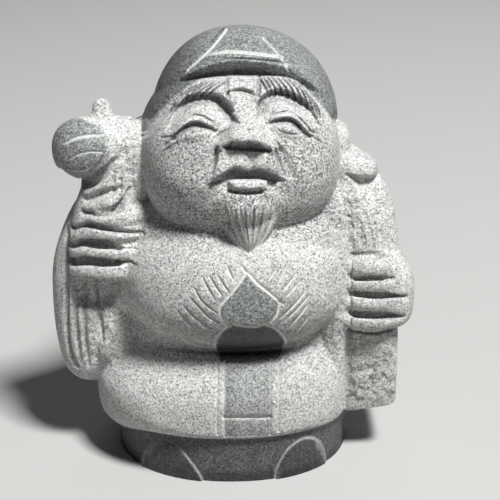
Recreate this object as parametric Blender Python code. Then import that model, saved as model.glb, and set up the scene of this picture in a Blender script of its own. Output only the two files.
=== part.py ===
"""A small granite figure of a laughing household god of plenty, carved in one with its low round base.

It holds a mallet up in its right hand, and its left hand grips the neck of the sack on its back.
Metres, +Z up, the figure faces -Y, and the origin is the middle of its underside.
"""

import math

import bmesh
import bpy
import numpy as np
from mathutils import Matrix

# Driving dimensions
HEIGHT = 0.150              # underside to crown
BASE_HALF_WIDTH = 0.0413
BASE_HALF_DEPTH = 0.0368

# The figure is drawn on a scale of 150 parts to its height. Places and sizes below are in parts.
PART = HEIGHT / 150

# The surface
GRAIN = 0.8                 # spacing of the skin's points while it is carved
EASE = 4                    # passes that soften the edges between forms
TRIANGLES = 9400            # faces of the finished solid

GRANITE = (0.36, 0.37, 0.36, 1.0)


def powered(value, exponent):
    return np.sign(value) * np.abs(value) ** exponent


def smooth_rows(rows, steps):
    """Rows of numbers, with a smooth curve's values between them."""
    rows = np.array(rows, float)
    padded = np.vstack([2 * rows[0] - rows[1], rows, 2 * rows[-1] - rows[-2]])
    out = []
    for a, b, c, d in zip(padded, padded[1:], padded[2:], padded[3:]):
        for step in range(steps):
            t = step / steps
            out.append(0.5 * (2 * b + (c - a) * t + (2 * a - 5 * b + 4 * c - d) * t * t
                              + (3 * b - a - 3 * c + d) * t ** 3))
    out.append(rows[-1])
    return np.array(out)


def placed(points, place):
    """Points moved by a matrix."""
    m = np.array(place)
    return points @ m[:3, :3].T + m[:3, 3]


def skin(bm, rings):
    """Closes a skin over rings that all have the same number of points."""
    made = [[bm.verts.new(point) for point in ring] for ring in rings]
    count = len(made[0])
    for low, high in zip(made, made[1:]):
        for k in range(count):
            bm.faces.new((low[k], low[(k + 1) % count], high[(k + 1) % count], high[k]))
    bm.faces.new(list(reversed(made[0])))
    bm.faces.new(made[-1])


def stack(bm, sections, steps=4, count=56, shift=None, place=Matrix()):
    """A form through level sections: height, x, y, half width, front, back, squareness."""
    turn = np.linspace(0, 2 * math.pi, count, endpoint=False)
    rings = []
    for z, x, y, wide, front, back, square in smooth_rows(sections, steps):
        across = powered(np.cos(turn), 2 / square)
        along = powered(np.sin(turn), 2 / square)
        ring = np.stack([x + wide * across, y + np.where(along > 0, back, front) * along,
                         np.full(count, z)], 1)
        rings.append(placed(ring if shift is None else shift(ring), place))
    skin(bm, rings)


def boulder(bm, centre, radii, square=2.0, turn=(0, 0, 0), place=Matrix()):
    """A rounded mass, from an ellipsoid at squareness 2 towards a box."""
    made = bmesh.ops.create_uvsphere(bm, u_segments=72, v_segments=48, radius=1)["verts"]
    points = np.array([v.co for v in made])
    points /= ((np.abs(points) ** square).sum(1) ** (1 / square))[:, None]
    x, y, z = (math.radians(angle) for angle in turn)
    m = (place @ Matrix.Translation(centre) @ Matrix.Rotation(z, 4, "Z") @ Matrix.Rotation(y, 4, "Y")
         @ Matrix.Rotation(x, 4, "X") @ Matrix.Diagonal((*radii, 1)))
    for v, point in zip(made, placed(points, m)):
        v.co = point


def roll(bm, points, radii, place=Matrix(), steps=6):
    """A round-ended roll along a smooth path, such as a finger."""
    rows = smooth_rows([(*point, radius) for point, radius in zip(points, radii)], steps)
    path = rows[:, :3]
    along = np.gradient(path, axis=0)
    along /= np.linalg.norm(along, axis=1)[:, None]
    first, last = rows[0, 3], rows[-1, 3]
    ends = np.linspace(math.radians(3), math.pi / 2, 5)[:-1]
    stations = [(path[0], along[0], -first * math.cos(a), first * math.sin(a)) for a in ends]
    stations += [(p, a, 0, r) for p, a, r in zip(path, along, rows[:, 3])]
    stations += [(path[-1], along[-1], last * math.cos(a), last * math.sin(a)) for a in reversed(ends)]
    turn = np.linspace(0, 2 * math.pi, 16, endpoint=False)
    side = np.cross(along[0], (0.13, 0.21, 0.97))
    rings = []
    for p, a, push, r in stations:
        side = side - a * (side @ a)
        side = side / np.linalg.norm(side)
        ring = p + a * push + r * (np.cos(turn)[:, None] * side + np.sin(turn)[:, None] * np.cross(a, side))
        rings.append(placed(ring, place))
    skin(bm, rings)


# The head looks up a little and to its left. In its own frame x is across, -y out of the face, z up.
HEAD = (Matrix.Translation((2.9, -6.0, 109.0)) @ Matrix.Rotation(math.radians(4), 4, "Z")
        @ Matrix.Rotation(math.radians(-16), 4, "X") @ Matrix.Rotation(math.radians(-2), 4, "Y"))
SKULL = (33.2, 31.0, 28.5)
SKULL_SQUARE = 2.6


def head(bm):
    boulder(bm, (0, 0, 0), SKULL, SKULL_SQUARE, place=HEAD)


def beard(bm):
    """A pointed beard that stands off the chest."""
    stack(bm, [(-12.5, 0.9, -20, 8.0, 5.0, 5, 2.2), (-16, 0.9, -21, 9.4, 8.2, 6, 2.2),
               (-20, 0.9, -21, 9.6, 8.2, 6, 2.2), (-24.5, 0.8, -20.5, 8.0, 7.8, 6, 2.1),
               (-28.5, 0.6, -20.0, 5.4, 6.8, 4, 2.0), (-31.6, 0.3, -19.6, 2.8, 5.4, 3, 2.0),
               (-33.6, 0.1, -19.4, 0.9, 4.0, 2, 2.0)], place=HEAD)


def ears(bm):
    boulder(bm, (33.6, 3.0, -1.5), (3.0, 5.5, 7.5), place=HEAD)
    boulder(bm, (-33.4, 3.0, -1.0), (3.2, 5.5, 9.5), place=HEAD)


# The cap is a soft round hood, open over the face, and its rim arches over the forehead.
CAP_CENTRE = (2.9, 1.0, 117.0)
CAP_RADII = (33.4, 31.8, 33.0)
CAP_SLANT = 3.4                                     # how much nearer the crown the mallet's side stands
CAP_SQUARE = 2.12
RIM_TURN = (0, 20, 40, 60, 80, 100, 130, 180)       # degrees round from the middle of the forehead
RIM_RISE = (51, 48, 40, 25, 9, -2, -14, -22)        # degrees that the rim stands above the cap's middle


def cap(bm):
    count, levels = 96, 18
    turn = np.linspace(0, 2 * math.pi, count, endpoint=False) - math.pi / 2
    away = np.abs((turn + 1.5 * math.pi) % (2 * math.pi) - math.pi)
    rim = np.interp(away, np.radians(RIM_TURN), np.radians(RIM_RISE))
    rings = []
    for level in range(levels):
        rise = rim + (math.radians(89) - rim) * level / (levels - 1)
        out = np.stack([np.cos(rise) * np.cos(turn), np.cos(rise) * np.sin(turn), np.sin(rise)], 1)
        out /= ((np.abs(out) ** CAP_SQUARE).sum(1) ** (1 / CAP_SQUARE))[:, None]
        out *= np.array(CAP_RADII)
        out[:, 0] *= np.where(out[:, 0] < 0, 1 - CAP_SLANT / CAP_RADII[0], 1)
        rings.append(np.array(CAP_CENTRE) + out)
    inside_cap = np.array((3.0, 4.0, 112.0)) + 0.02 * (rings[0] - np.array(CAP_CENTRE))
    skin(bm, [inside_cap] + rings)
    roll(bm, [(-18, -4, 129), (-24.0, -6, 123.5), (-30.2, -8.0, 116.5)], (6.2, 4.4, 1.6))


def base(bm):
    """The low round base, which runs on below the ground until its underside is cut flat."""
    wide, deep = BASE_HALF_WIDTH / PART, BASE_HALF_DEPTH / PART
    stack(bm, [(-4, 0, 0, wide, deep, deep, 2.12), (14, 0, 0, wide, deep, deep, 2.12),
               (26, 0, 0, wide - 1, deep - 1, deep - 1, 2.12)], steps=2)


def raise_hem(ring):
    """Lifts the robe's hem in front, over the feet."""
    front = np.clip((-ring[:, 1] - 8) / 28, 0, 1)
    low = np.clip((34 - ring[:, 2]) / 26, 0, 1)
    ring[:, 2] += 8.5 * front * front * (3 - 2 * front) * low
    return ring


def robe(bm):
    stack(bm, [(8.5, -1.2, 0, 39.5, 37.5, 33, 2.4), (11.5, -2.0, 0, 42.4, 39.2, 35.2, 2.4),
               (17, -2.9, 0, 44.8, 39.6, 36.5, 2.45), (28, -3.2, 0, 45.2, 39.8, 36.8, 2.45),
               (35, -2.6, 0, 43.9, 38.6, 36, 2.4), (40, -1.5, 0, 41.0, 36.2, 34, 2.3),
               (46, 0, 0, 36.5, 32.5, 32, 2.3)], shift=raise_hem)


def trunk(bm):
    stack(bm, [(34, 0, 0, 38, 30, 33, 2.4), (60, 1, 0, 40, 30, 36, 2.4), (85, 2, 0, 40, 27, 34, 2.4),
               (100, 3, 2, 36, 22, 28, 2.3), (112, 3, 3, 28, 16, 20, 2.2)])


def belly(bm):
    boulder(bm, (1.2, -5, 68.5), (40.2, 38.6, 26.0), square=2.35)
    boulder(bm, (2.4, -5, 82), (38.5, 30, 15), square=2.3)


def mallet(bm):
    boulder(bm, (-46.2, -13.5, 112.4), (11.8, 10.8, 10.4), square=2.25, turn=(0, 0, -20))
    boulder(bm, (-38.0, -9, 112), (12.5, 10.5, 9.8), square=2.25, turn=(0, 0, -20))
    roll(bm, [(-42.4, -9, 115), (-42.4, -8.6, 120), (-42.6, -8.4, 125.0)], (6.4, 4.6, 3.1))
    roll(bm, [(-41, -8, 110), (-42, -10, 95), (-43, -10, 80)], (9, 8.5, 8))
    boulder(bm, (-33.5, -8.5, 105.5), (8.5, 12.0, 15.0), square=2.4)


# Level of each finger's middle, and its outer end across, on the two hands
RIGHT_FINGERS = ((91.6, -47.4), (86.6, -50.2), (79.9, -52.4), (72.9, -53.2))
LEFT_FINGERS = ((73.8, 55.0), (68.1, 58.8), (61.3, 59.4), (54.4, 58.2))


def right_arm(bm):
    roll(bm, [(-26, 4, 108), (-33, 0, 103), (-37, -4, 93), (-38, -7, 80), (-35, -8, 64)],
         (12, 13, 14, 15, 14))
    boulder(bm, (-42.6, -12.5, 82.4), (11.4, 13.4, 13.2), square=3.0, turn=(0, 12, -6))
    stack(bm, [(84, -42.6, -11, 11.4, 14.0, 10, 2.8), (92, -41.6, -11, 11.0, 14.2, 10, 2.8),
               (98, -40.2, -11, 10.2, 13.0, 10, 2.6), (104, -38.8, -11, 9.4, 11.6, 10, 2.4),
               (110, -38.0, -11, 9.0, 10.0, 9, 2.2)])
    roll(bm, [(-46.8, -17.0, 94.9), (-42.6, -21.8, 96.2), (-37.8, -22.0, 97.6), (-34.0, -18.8, 101.2)],
         (2.2, 2.8, 2.8, 2.0))
    for level, end in RIGHT_FINGERS:
        roll(bm, [(end, -15, level - 0.6), (end + 2.8, -20.6, level), (-43.0, -23.6, level + 0.2),
                  (-34.5, -22.8, level), (-29.0, -16.8, level), (-24.0, -10.0, level)], (3.5,) * 6)


def right_sleeve(bm):
    stack(bm, [(26.6, -50, -6, 5.5, 6, 12, 2.2), (31.6, -50, -6, 9.3, 9.5, 15, 2.5),
               (44, -49.6, -6, 12.0, 12.4, 17, 2.7), (58, -48.8, -6, 13.4, 13.6, 18, 2.7),
               (72, -48, -6, 13.2, 13.6, 17, 2.7), (86, -45.5, -6, 10.8, 12.5, 16, 2.5),
               (97, -42.5, -5, 7, 8, 13, 2.3)])
    boulder(bm, (-39, -6, 47), (11, 14.6, 20), square=2.4)


def left_arm(bm):
    roll(bm, [(32, 0, 106), (40, -5, 98), (44.5, -9, 86), (46.5, -10, 72), (46, -8, 58)],
         (9, 11, 11.5, 11.5, 12))
    boulder(bm, (32.8, -2, 110.0), (7.4, 9.0, 7.8), square=4.4)
    boulder(bm, (41.8, -8, 103.4), (7.7, 8.0, 6.4), square=2.3, turn=(0, 10, 0))
    stack(bm, [(50.4, 48.6, -11, 10.6, 11.6, 12, 2.8), (54, 49.6, -11, 12.8, 13.4, 13, 3),
               (64, 49.9, -11, 13.1, 13.8, 13, 3), (70, 49.4, -11, 12.2, 13.4, 13, 3),
               (75, 48.2, -11, 10.2, 12.6, 12, 2.8), (78.4, 47.4, -11, 8.4, 11, 11, 2.6)])
    for level, end in LEFT_FINGERS:
        roll(bm, [(35.0, -18.5, level), (41.5, -21.2, level), (48.5, -22.8, level + 0.3),
                  (end - 3.2, -19.5, level), (end, -11, level - 0.6), (end - 1.1, -2, level - 1.0)],
             (3.7,) * 6)


def left_side(bm):
    """The upright band of the body between the belly and the left hand."""
    stack(bm, [(26, 35.5, -6, 5.6, 13.5, 12, 3.4), (44, 35.4, -6, 5.7, 16.0, 12, 3.4),
               (60, 35.0, -6, 5.9, 19.0, 12, 3.4), (76, 34.8, -6, 5.9, 19.0, 12, 3.4),
               (86, 34.4, -6, 5.8, 16.0, 12, 3.2), (96, 34.0, -6, 5.6, 12.0, 12, 2.8),
               (104, 33.4, -5, 5.0, 8.0, 10, 2.6)])


def tilt_end(ring):
    """Slopes the foot of the sack's hanging end up towards its outer corner."""
    ring[:, 2] += 0.17 * (ring[:, 0] - 49) * np.clip((34 - ring[:, 2]) / 14, 0, 1)
    return ring


def hanging_end(bm):
    """The sack's rough lower end, below the left hand."""
    stack(bm, [(17.6, 48.8, -2, 9.8, 14.5, 16, 6), (30, 48.8, -2, 9.8, 16.5, 17, 5.5),
               (46, 48.6, -2, 9.6, 18, 18, 5), (58, 48.2, -2, 9.5, 18, 17, 4)], steps=2, shift=tilt_end)


def sack(bm):
    """The full sack on the back, and its neck over the left shoulder."""
    boulder(bm, (4, 12, 66), (46, 31, 42), square=2.35, turn=(0, 8, 0))
    roll(bm, [(28, 14, 92), (37, 6, 94), (43.5, -3, 91), (47.5, -8, 82)], (14, 11.5, 10.5, 9.8))


def figure(grain, ease):
    """Every form in one stone, with its surface softened."""
    bm = bmesh.new()
    for form in (base, robe, trunk, belly, head, beard, ears, cap, mallet, right_arm, right_sleeve,
                 left_arm, left_side, hanging_end, sack):
        form(bm)
    bmesh.ops.scale(bm, vec=(PART, PART, PART), verts=bm.verts)
    bm.normal_update()
    mesh = bpy.data.meshes.new("statue")
    bm.to_mesh(mesh)
    bm.free()
    obj = bpy.data.objects.new("statue", mesh)
    bpy.context.scene.collection.objects.link(obj)
    fuse = obj.modifiers.new("One stone", "REMESH")
    fuse.mode = "VOXEL"
    fuse.voxel_size = grain * PART
    soften = obj.modifiers.new("Softened edges", "SMOOTH")
    soften.factor = 0.5
    soften.iterations = round(ease)
    settle(obj)
    return obj


def settle(obj):
    """Applies an object's modifiers."""
    graph = bpy.context.evaluated_depsgraph_get()
    mesh = bpy.data.meshes.new_from_object(obj.evaluated_get(graph))
    obj.modifiers.clear()
    obj.data = mesh


class Side:
    """The part of a skin that faces one way, seen flat: across, up and out are in parts."""

    def __init__(self, obj, place, nearest, least=0.05):
        mesh = obj.data
        count = len(mesh.vertices)
        flat = np.empty(count * 3, np.float32)
        mesh.vertices.foreach_get("co", flat)
        self.points = flat.reshape(-1, 3).astype(float) / PART
        flat = np.empty(count * 3, np.float32)
        mesh.vertex_normals.foreach_get("vector", flat)
        normals = flat.reshape(-1, 3).astype(float)
        m = np.array(place)
        local = (self.points - m[:3, 3]) @ m[:3, :3]
        turned = normals @ m[:3, :3]
        self.chosen = np.nonzero((-local[:, 1] > nearest) & (-turned[:, 1] > least))[0]
        self.across, self.out, self.up = local[self.chosen].T * np.array((1, -1, 1))[:, None]
        self.normals = normals[self.chosen]
        self.toward = -m[:3, 1]
        self.mesh = mesh
        self.rise = np.zeros(len(self.chosen))

    def gap(self, line):
        """Each point's distance from a line, its place along it, and whether it lies to its left."""
        lengths = [math.dist(a, b) for a, b in zip(line, line[1:])]
        whole, passed = sum(lengths), 0
        best = np.full(len(self.chosen), 1e9)
        place = np.zeros(len(self.chosen))
        left = np.zeros(len(self.chosen), bool)
        for (ax, ay), (bx, by), length in zip(line, line[1:], lengths):
            dx, dy = bx - ax, by - ay
            x, y = self.across - ax, self.up - ay
            t = np.clip((x * dx + y * dy) / (length * length), 0, 1)
            away = np.hypot(x - t * dx, y - t * dy)
            nearer = away < best
            best = np.where(nearer, away, best)
            place = np.where(nearer, (passed + t * length) / whole, place)
            left = np.where(nearer, dx * y - dy * x > 0, left)
            passed += length
        return best, place, left

    def within(self, outline):
        """How far inside an outline each point is, negative outside it."""
        odd = np.zeros(len(self.chosen), bool)
        closed = list(outline) + [outline[0]]
        for (ax, ay), (bx, by) in zip(closed, closed[1:]):
            if ay == by:
                continue
            spans = (ay > self.up) != (by > self.up)
            odd ^= spans & (self.across < ax + (self.up - ay) * (bx - ax) / (by - ay))
        return self.gap(closed)[0] * np.where(odd, 1, -1)

    def groove(self, line, reach, depth, right=None, ends=(1, 1), flare=2.0, steps=5):
        """Cuts a round groove along a smooth line, to one reach on its left and another on its right.

        Its floor is flatter, and its walls steeper, the less it flares.
        """
        away, place, left = self.gap(smooth_rows(line, steps))
        fade = np.interp(place, (0, 0.3, 0.7, 1), (ends[0], 1, 1, ends[1]))
        width = np.where(left, reach, right or reach) * (0.4 + 0.6 * fade)
        share = np.clip(1 - (away / width) ** 2, 0, 1)
        self.rise -= depth * fade * share ** flare

    def ridge(self, line, reach, height, ends=(1, 1)):
        self.groove(line, reach, -height, ends=ends)

    def oval(self, centre, radii, height, turn=0):
        """Raises a smooth rounded swelling."""
        c, s = math.cos(math.radians(turn)), math.sin(math.radians(turn))
        x, y = self.across - centre[0], self.up - centre[1]
        share = np.clip(1 - ((x * c + y * s) / radii[0]) ** 2 - ((y * c - x * s) / radii[1]) ** 2, 0, 1)
        self.rise += height * share * share * (3 - 2 * share)

    def shelf(self, outline, height, edge):
        """Raises what is inside an outline, or sinks it, with a slope of one width all round."""
        share = np.clip(self.within(outline) / edge + 0.5, 0, 1)
        self.rise += height * share * share * (3 - 2 * share)

    def settle(self, straight=False):
        """Moves the points, along their own normals or straight out of the view."""
        way = self.toward if straight else self.normals
        self.points[self.chosen] += way * self.rise[:, None]
        self.mesh.vertices.foreach_set("co", (self.points * PART).astype(np.float32).ravel())
        self.mesh.update()


FACE_MIDDLE = 0.9
NOSE_LEVEL = (1.6, 3, 5, 7, 10, 13, 17)
NOSE_HALF = (9.4, 9.2, 7.8, 5.8, 4.0, 3.4, 3.2)
NOSE_OUT = (6.0, 6.0, 5.4, 4.2, 2.4, 1.2, 0.0)
NOSE_FOOT_ACROSS = (-8.6, -6.9, -3.8, 0.0, 3.8, 6.6, 9.4)
NOSE_FOOT_LEVEL = (1.4, 2.8, 3.8, 3.8, 3.2, 2.2, 0.6)
BROWS = (((-25.2, 9.0), (-23.2, 15.0), (-18.2, 19.4), (-12.2, 21.4), (-7.0, 20.8), (-4.0, 17.4)),
         ((6.2, 17.8), (9.2, 21.2), (14.6, 21.4), (20.4, 18.4), (24.6, 14.4), (26.8, 9.4)))
HOLLOWS = (((-23.2, 9.4), (-21.2, 13.6), (-17.6, 17.0), (-13.4, 18.2), (-8.8, 18.0), (-5.9, 16.4),
            (-3.7, 13.0)),
           ((5.4, 13.2), (6.6, 16.0), (9.7, 17.8), (13.6, 18.0), (17.6, 16.2), (21.0, 13.4), (23.6, 9.4)))
LIDS = (((-22.8, 7.6), (-19.4, 10.6), (-15.7, 12.2), (-12.7, 11.8), (-9.3, 9.6)),
        ((8.3, 10.4), (11.2, 11.5), (14.4, 11.8), (16.9, 10.4), (19.3, 7.9), (21.2, 5.6)))
SLITS = (((-21.9, 6.2), (-18.5, 8.7), (-15.4, 9.9), (-12.5, 9.2), (-9.6, 7.9)),
         ((8.3, 8.9), (11.1, 9.5), (14.3, 9.6), (16.6, 8.4), (18.4, 6.3), (20.6, 4.2)))
UPPER_LIP = ((-10.2, -8.5), (-7.4, -6.5), (-5.6, -5.7), (-2.7, -4.5), (-1.2, -5.0), (0.6, -6.0), (3.0, -5.4),
             (6.0, -6.0), (7.9, -7.1), (9.9, -8.3))
TONGUE = ((-5.8, -9.6), (-3.4, -8.8), (0, -8.3), (3.0, -8.8), (6.4, -9.2), (6.4, -10.6), (5.0, -11.6),
          (0, -11.7), (-4.5, -11.4))
UNDER_TONGUE = ((-5.0, -11.7), (-2.4, -12.5), (0.6, -12.8), (3.6, -12.7), (6.0, -12.0))
MUZZLE = ((-7.9, 1.6), (-8.9, -1.0), (-9.4, -4.0), (-9.4, -7.6), (-5.0, -8.8), (0.6, -9.0), (5.6, -8.8),
          (9.6, -7.4), (9.8, -4.4), (9.2, -0.6))
CHEEK_LINES = (((-9.6, 0.5), (-11.2, -2.8), (-13.0, -6.2), (-13.8, -9.4)),
               ((10.9, -0.8), (12.6, -4.7), (14.4, -8.6), (15.1, -11.4)))
NOSE_SIDES = (((-10.4, 2.6), (-9.0, 4.6), (-7.4, 6.0), (-4.3, 7.8)),
              ((11.0, -0.2), (9.7, 2.7), (7.2, 5.2), (5.0, 6.9)))
FROWN = ((-3.8, 18.6), (-1.8, 19.2), (0.5, 19.4), (3.2, 18.4))
FROWN_SIDES = (((-3.9, 24.0), (-4.4, 20.0), (-4.0, 17.2)), ((6.8, 24.0), (5.8, 20.3), (5.2, 17.2)))
UNDER_BRIM = ((-24, 19.8), (-16.9, 23.2), (-11, 24.8), (-3.2, 25.5), (6.3, 25.2), (14, 23.9), (20, 21.0),
              (26, 16.4))


def face(obj):
    view = Side(obj, HEAD, 8)
    for across in (-18.5, 19.5):
        view.oval((across, -3.0), (14.5, 14.0), 2.0)
    for brow, hollow, slit, lid, ends in zip(BROWS, HOLLOWS, SLITS, LIDS, ((0.1, 1), (1, 0.1))):
        view.ridge(brow, 3.4, 1.5, ends=ends)
        view.groove(hollow, 1.3, 3.4, right=5.4, ends=ends, flare=1.4)
        view.groove(lid, 0.8, 0.8, right=1.2, ends=(0.5, 0.5))
        view.groove(slit, 0.8, 2.5, right=2.8, ends=(0.5, 0.5), flare=1.4)
    view.oval((-15.4, 8.8), (8.6, 5.4), 2.2, turn=12)
    view.oval((15.2, 8.0), (8.6, 5.4), 2.2, turn=-14)
    view.shelf(MUZZLE, 1.7, 2.6)
    view.oval((0.8, -15.0), (12.5, 8.5), 2.0)
    view.groove(UPPER_LIP, 0.9, 3.7, right=4.6, ends=(0.2, 0.2), flare=1.3)
    view.shelf(TONGUE, 1.9, 1.2)
    view.groove(UNDER_TONGUE, 0.9, 1.6)
    view.groove([(0.9, 0.2), (1.4, -2.6), (1.0, -5.4)], 1.8, 0.6)
    for line in CHEEK_LINES:
        view.groove(line, 2.6, 1.4, ends=(1, 0.2))
    view.groove(FROWN, 1.2, 2.0, right=1.9)
    view.ridge([(-2.6, 16.4), (1.0, 15.8), (4.6, 16.4)], 1.2, 0.5)
    for line in FROWN_SIDES:
        view.groove(line, 1.1, 0.9, ends=(0, 0.6))
    gap = np.abs(view.across - FACE_MIDDLE)
    half = np.interp(view.up, NOSE_LEVEL, NOSE_HALF)
    out = np.interp(view.up, NOSE_LEVEL, NOSE_OUT)
    foot = np.interp(view.across, NOSE_FOOT_ACROSS, NOSE_FOOT_LEVEL)
    side = np.clip((half - gap) / 3.2 + 0.35, 0, 1)
    wing = np.where(gap > 4.4, 1 - 0.42 * np.clip((gap - 4.4) / 2.0, 0, 1), 1)
    under = np.clip((view.up - foot) / 1.3 + 0.5, 0, 1)
    view.rise += out * wing * side * side * (3 - 2 * side) * under * under * (3 - 2 * under)
    for line in NOSE_SIDES:
        view.groove(line, 1.3, 1.0, ends=(0.8, 0.3))
    view.groove(UNDER_BRIM, 3.0, 2.2, right=3.4, ends=(0, 0), flare=1.5)
    view.rise *= view.up < 28.5
    view.settle(straight=True)


# Where the cap meets the face on each side
BRIM = (((-31.4, 8.6), (-29.3, 11.9), (-26.4, 14.4), (-23.1, 17.2), (-19.0, 21.2)),
        ((19.6, 22.0), (23.2, 19.4), (26.0, 16.5), (29.6, 12.6), (32.4, 9.0)))


def cap_folds(obj):
    view = Side(obj, HEAD, 0)
    for line, ends in zip(BRIM, ((0.7, 0.2), (0.2, 0.7))):
        view.groove(line, 1.3, 1.9, right=3.6, ends=ends)
    view.groove([(-2.9, 39.8), (-9.1, 33.3), (-15.4, 27.1)], 1.3, 0.9)
    view.groove([(8.4, 39.0), (12.4, 31.6), (16.2, 24.9)], 1.3, 0.9)
    view.groove([(-9.3, 31.7), (-4.4, 32.1), (2.4, 31.9), (9.3, 30.9), (14.2, 29.5)], 1.3, 0.9)
    view.settle()


def beard_locks(obj):
    view = Side(obj, HEAD, 22)
    for share in (-0.75, -0.3, 0.15, 0.6):
        lock = [(0.9 + 8.6 * share, -17.0), (0.9 + 7.0 * share, -24), (0.4 + 1.6 * share, -31.5)]
        view.groove(lock, 1.2, 0.9, ends=(0, 0.6))
    view.settle()


JEWEL = ((4.2, 80.8), (5.0, 78.9), (3.4, 76.5), (1.2, 73.6), (-1.4, 70.6), (-3.0, 68.2), (-2.9, 65.3),
         (-1.4, 63.2), (1.2, 61.9), (4.1, 60.9), (8.2, 60.4), (10.8, 61.4), (13.4, 62.7), (15.2, 64.7),
         (15.8, 67.5), (16.1, 69.3))
JEWEL_EDGE = ((3.6, 81.0), (6.7, 78.2), (8.9, 75.7), (11.9, 73.3), (14.5, 70.8), (17.3, 68.0))
DISC_LEFT = ((0.1, 62.1), (-2.2, 59.5), (-4.1, 56.3), (-5.2, 52.5), (-4.9, 47.1), (-2.9, 44.0))
DISC_RIGHT = ((11.6, 61.1), (15.0, 58.8), (17.3, 55.0), (18.4, 51.7), (17.7, 45.9), (14.8, 42.8))


def belly_carving(obj):
    """The jewel on the belly, and its dark foot."""
    view = Side(obj, Matrix(), 20, least=-0.2)
    for line in (JEWEL, JEWEL_EDGE, DISC_LEFT, DISC_RIGHT):
        view.groove(line, 1.1, 0.7)
    view.settle()


def robe_carving(obj):
    view = Side(obj, Matrix(), 20)
    for across in (-4.5, -2.1, 13.5, 16.2):
        view.groove([(across, 45), (across, 32), (across, 20)], 0.9, 0.7)
    view.groove([(-2.1, 25.8), (13.5, 25.4)], 1.3, 0.9)
    view.shelf([(-2.1, 24.6), (13.5, 24.2), (13.5, 14), (-2.1, 14)], -0.6, 0.8)
    view.settle()


TOES = (((-31.8, -1.0), (-31.0, 4.0), (-28.6, 9.0), (-23.4, 13.2), (-18.4, 12.0), (-14.2, 7.6), (-10.6, 2.0),
         (-9.6, -1.0)),
        ((15.0, -1.0), (16.0, 4.6), (19.6, 10.8), (25.4, 13.4), (30.2, 10.4), (32.6, 4.8), (33.2, -1.0)))


def toes(obj):
    view = Side(obj, Matrix(), 12)
    for outline in TOES:
        view.shelf([tuple(row) for row in smooth_rows(outline, 4)], 0.8, 1.6)
    view.rise *= view.up < 17
    view.settle()


# Lines on the right hand and its sleeve, seen from in front
FINGER_GAPS = (([(-52.5, 87.2), (-46.7, 89.6), (-41.7, 89.1), (-36.3, 87.8), (-29.0, 86.2)], 1.2, 1.8),
               ([(-53.2, 81.2), (-49.4, 82.9), (-44.3, 83.3), (-39.5, 83.0), (-36.7, 82.0)], 1.8, 3.6),
               ([(-54.0, 75.0), (-48.4, 76.9), (-42.1, 77.0), (-37.0, 76.6)], 1.8, 3.6))
KNUCKLE_LINES = ([(-37.0, 82.0), (-30.9, 81.2)], [(-37.0, 76.6), (-30.4, 77.2)],
                 [(-37.0, 94.8), (-30.7, 94.0)])
THUMB_LINES = (([(-48.2, 97.2), (-41.7, 100.1), (-35.7, 101.6)], 1.2, 1.3),
               ([(-48.6, 93.4), (-42.2, 93.9), (-38.2, 94.6), (-35.0, 96.8), (-32.8, 100.6)], 1.3, 1.9))
SLEEVE_MOUTH = ((-54.2, 69.2), (-50.2, 70.0), (-45.1, 69.6), (-39.9, 70.6), (-37.8, 70.0), (-37.6, 64.0),
                (-40.5, 58.0), (-53.6, 57.0))
SLEEVE_RIM = ((-54.8, 84.4), (-55.2, 74.9), (-55.8, 62.7), (-56.5, 50.8), (-56.2, 40.6), (-54.2, 34.0))
SLEEVE_FOLDS = (((-53.1, 60.0), (-53.2, 47.0), (-53.0, 35.5)), ((-49.4, 59.0), (-50.2, 46.0), (-50.0, 34.5)),
                ((-44.6, 58.0), (-45.0, 46.0), (-44.0, 37.5)))
MALLET_ARCS = (((-53.7, 116.0), (-49.3, 118.3), (-45.1, 119.1), (-40.6, 119.1)),
               ((-51.8, 111.4), (-48.1, 113.7), (-43.9, 114.4), (-40.2, 113.8)))
MALLET_END = ((-60.0, 124.0), (-49.0, 123.4), (-44.5, 122.5), (-41.3, 121.1), (-39.8, 118.7), (-39.8, 115.5),
              (-41.3, 112.4), (-43.5, 110.4), (-46.3, 108.4), (-49.5, 107.4), (-52.6, 107.4), (-60.0, 107.0))

# Lines on the left hand and the sack's knob above it
LEFT_GAPS = (([(41.4, 70.2), (47.5, 71.0), (54.6, 70.4)], 1.1, 2.6),
             ([(41.6, 64.7), (48.3, 64.7), (59.4, 63.2)], 1.3, 2.9),
             ([(41.6, 57.2), (48.6, 57.4), (58.6, 55.8)], 1.5, 3.2))
LEFT_WALL = ((40.2, 77.4), (40.3, 64.0), (40.4, 50.6))
KNOB_NOTCH = ((38.4, 103.8), (42.5, 103.2), (46.1, 102.8), (49.6, 101.8), (48.2, 96.8), (46.6, 96.8),
              (42.0, 100.4))


def hands_and_sleeve(obj):
    view = Side(obj, Matrix(), 2)
    for line, reach, depth in FINGER_GAPS:
        view.groove(line, reach, depth, ends=(0.5, 0.6), flare=1.5)
    for line in KNUCKLE_LINES:
        view.groove(line, 0.8, 0.8, ends=(1, 0.3))
    for line, reach, depth in THUMB_LINES:
        view.groove(line, reach, depth, ends=(0.5, 0.3))
    view.shelf(SLEEVE_MOUTH, -4.4, 2.0)
    view.groove(SLEEVE_RIM, 1.1, 1.8, flare=1.5)
    for line in SLEEVE_FOLDS:
        view.groove(line, 1.4, 1.5, ends=(1, 0.3))
    view.shelf(MALLET_END, 0.5, 1.2)
    for line in MALLET_ARCS:
        view.groove(line, 0.9, 0.6)
    for line, reach, depth in LEFT_GAPS:
        view.groove(line, reach, depth, ends=(0.8, 0.4), flare=1.5)
    view.groove(LEFT_WALL, 0.8, 0.6)
    view.shelf(KNOB_NOTCH, -3.0, 1.4)
    view.settle()


def carve(obj):
    for cut in (face, cap_folds, beard_locks, belly_carving, robe_carving, toes, hands_and_sleeve):
        cut(obj)


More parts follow.
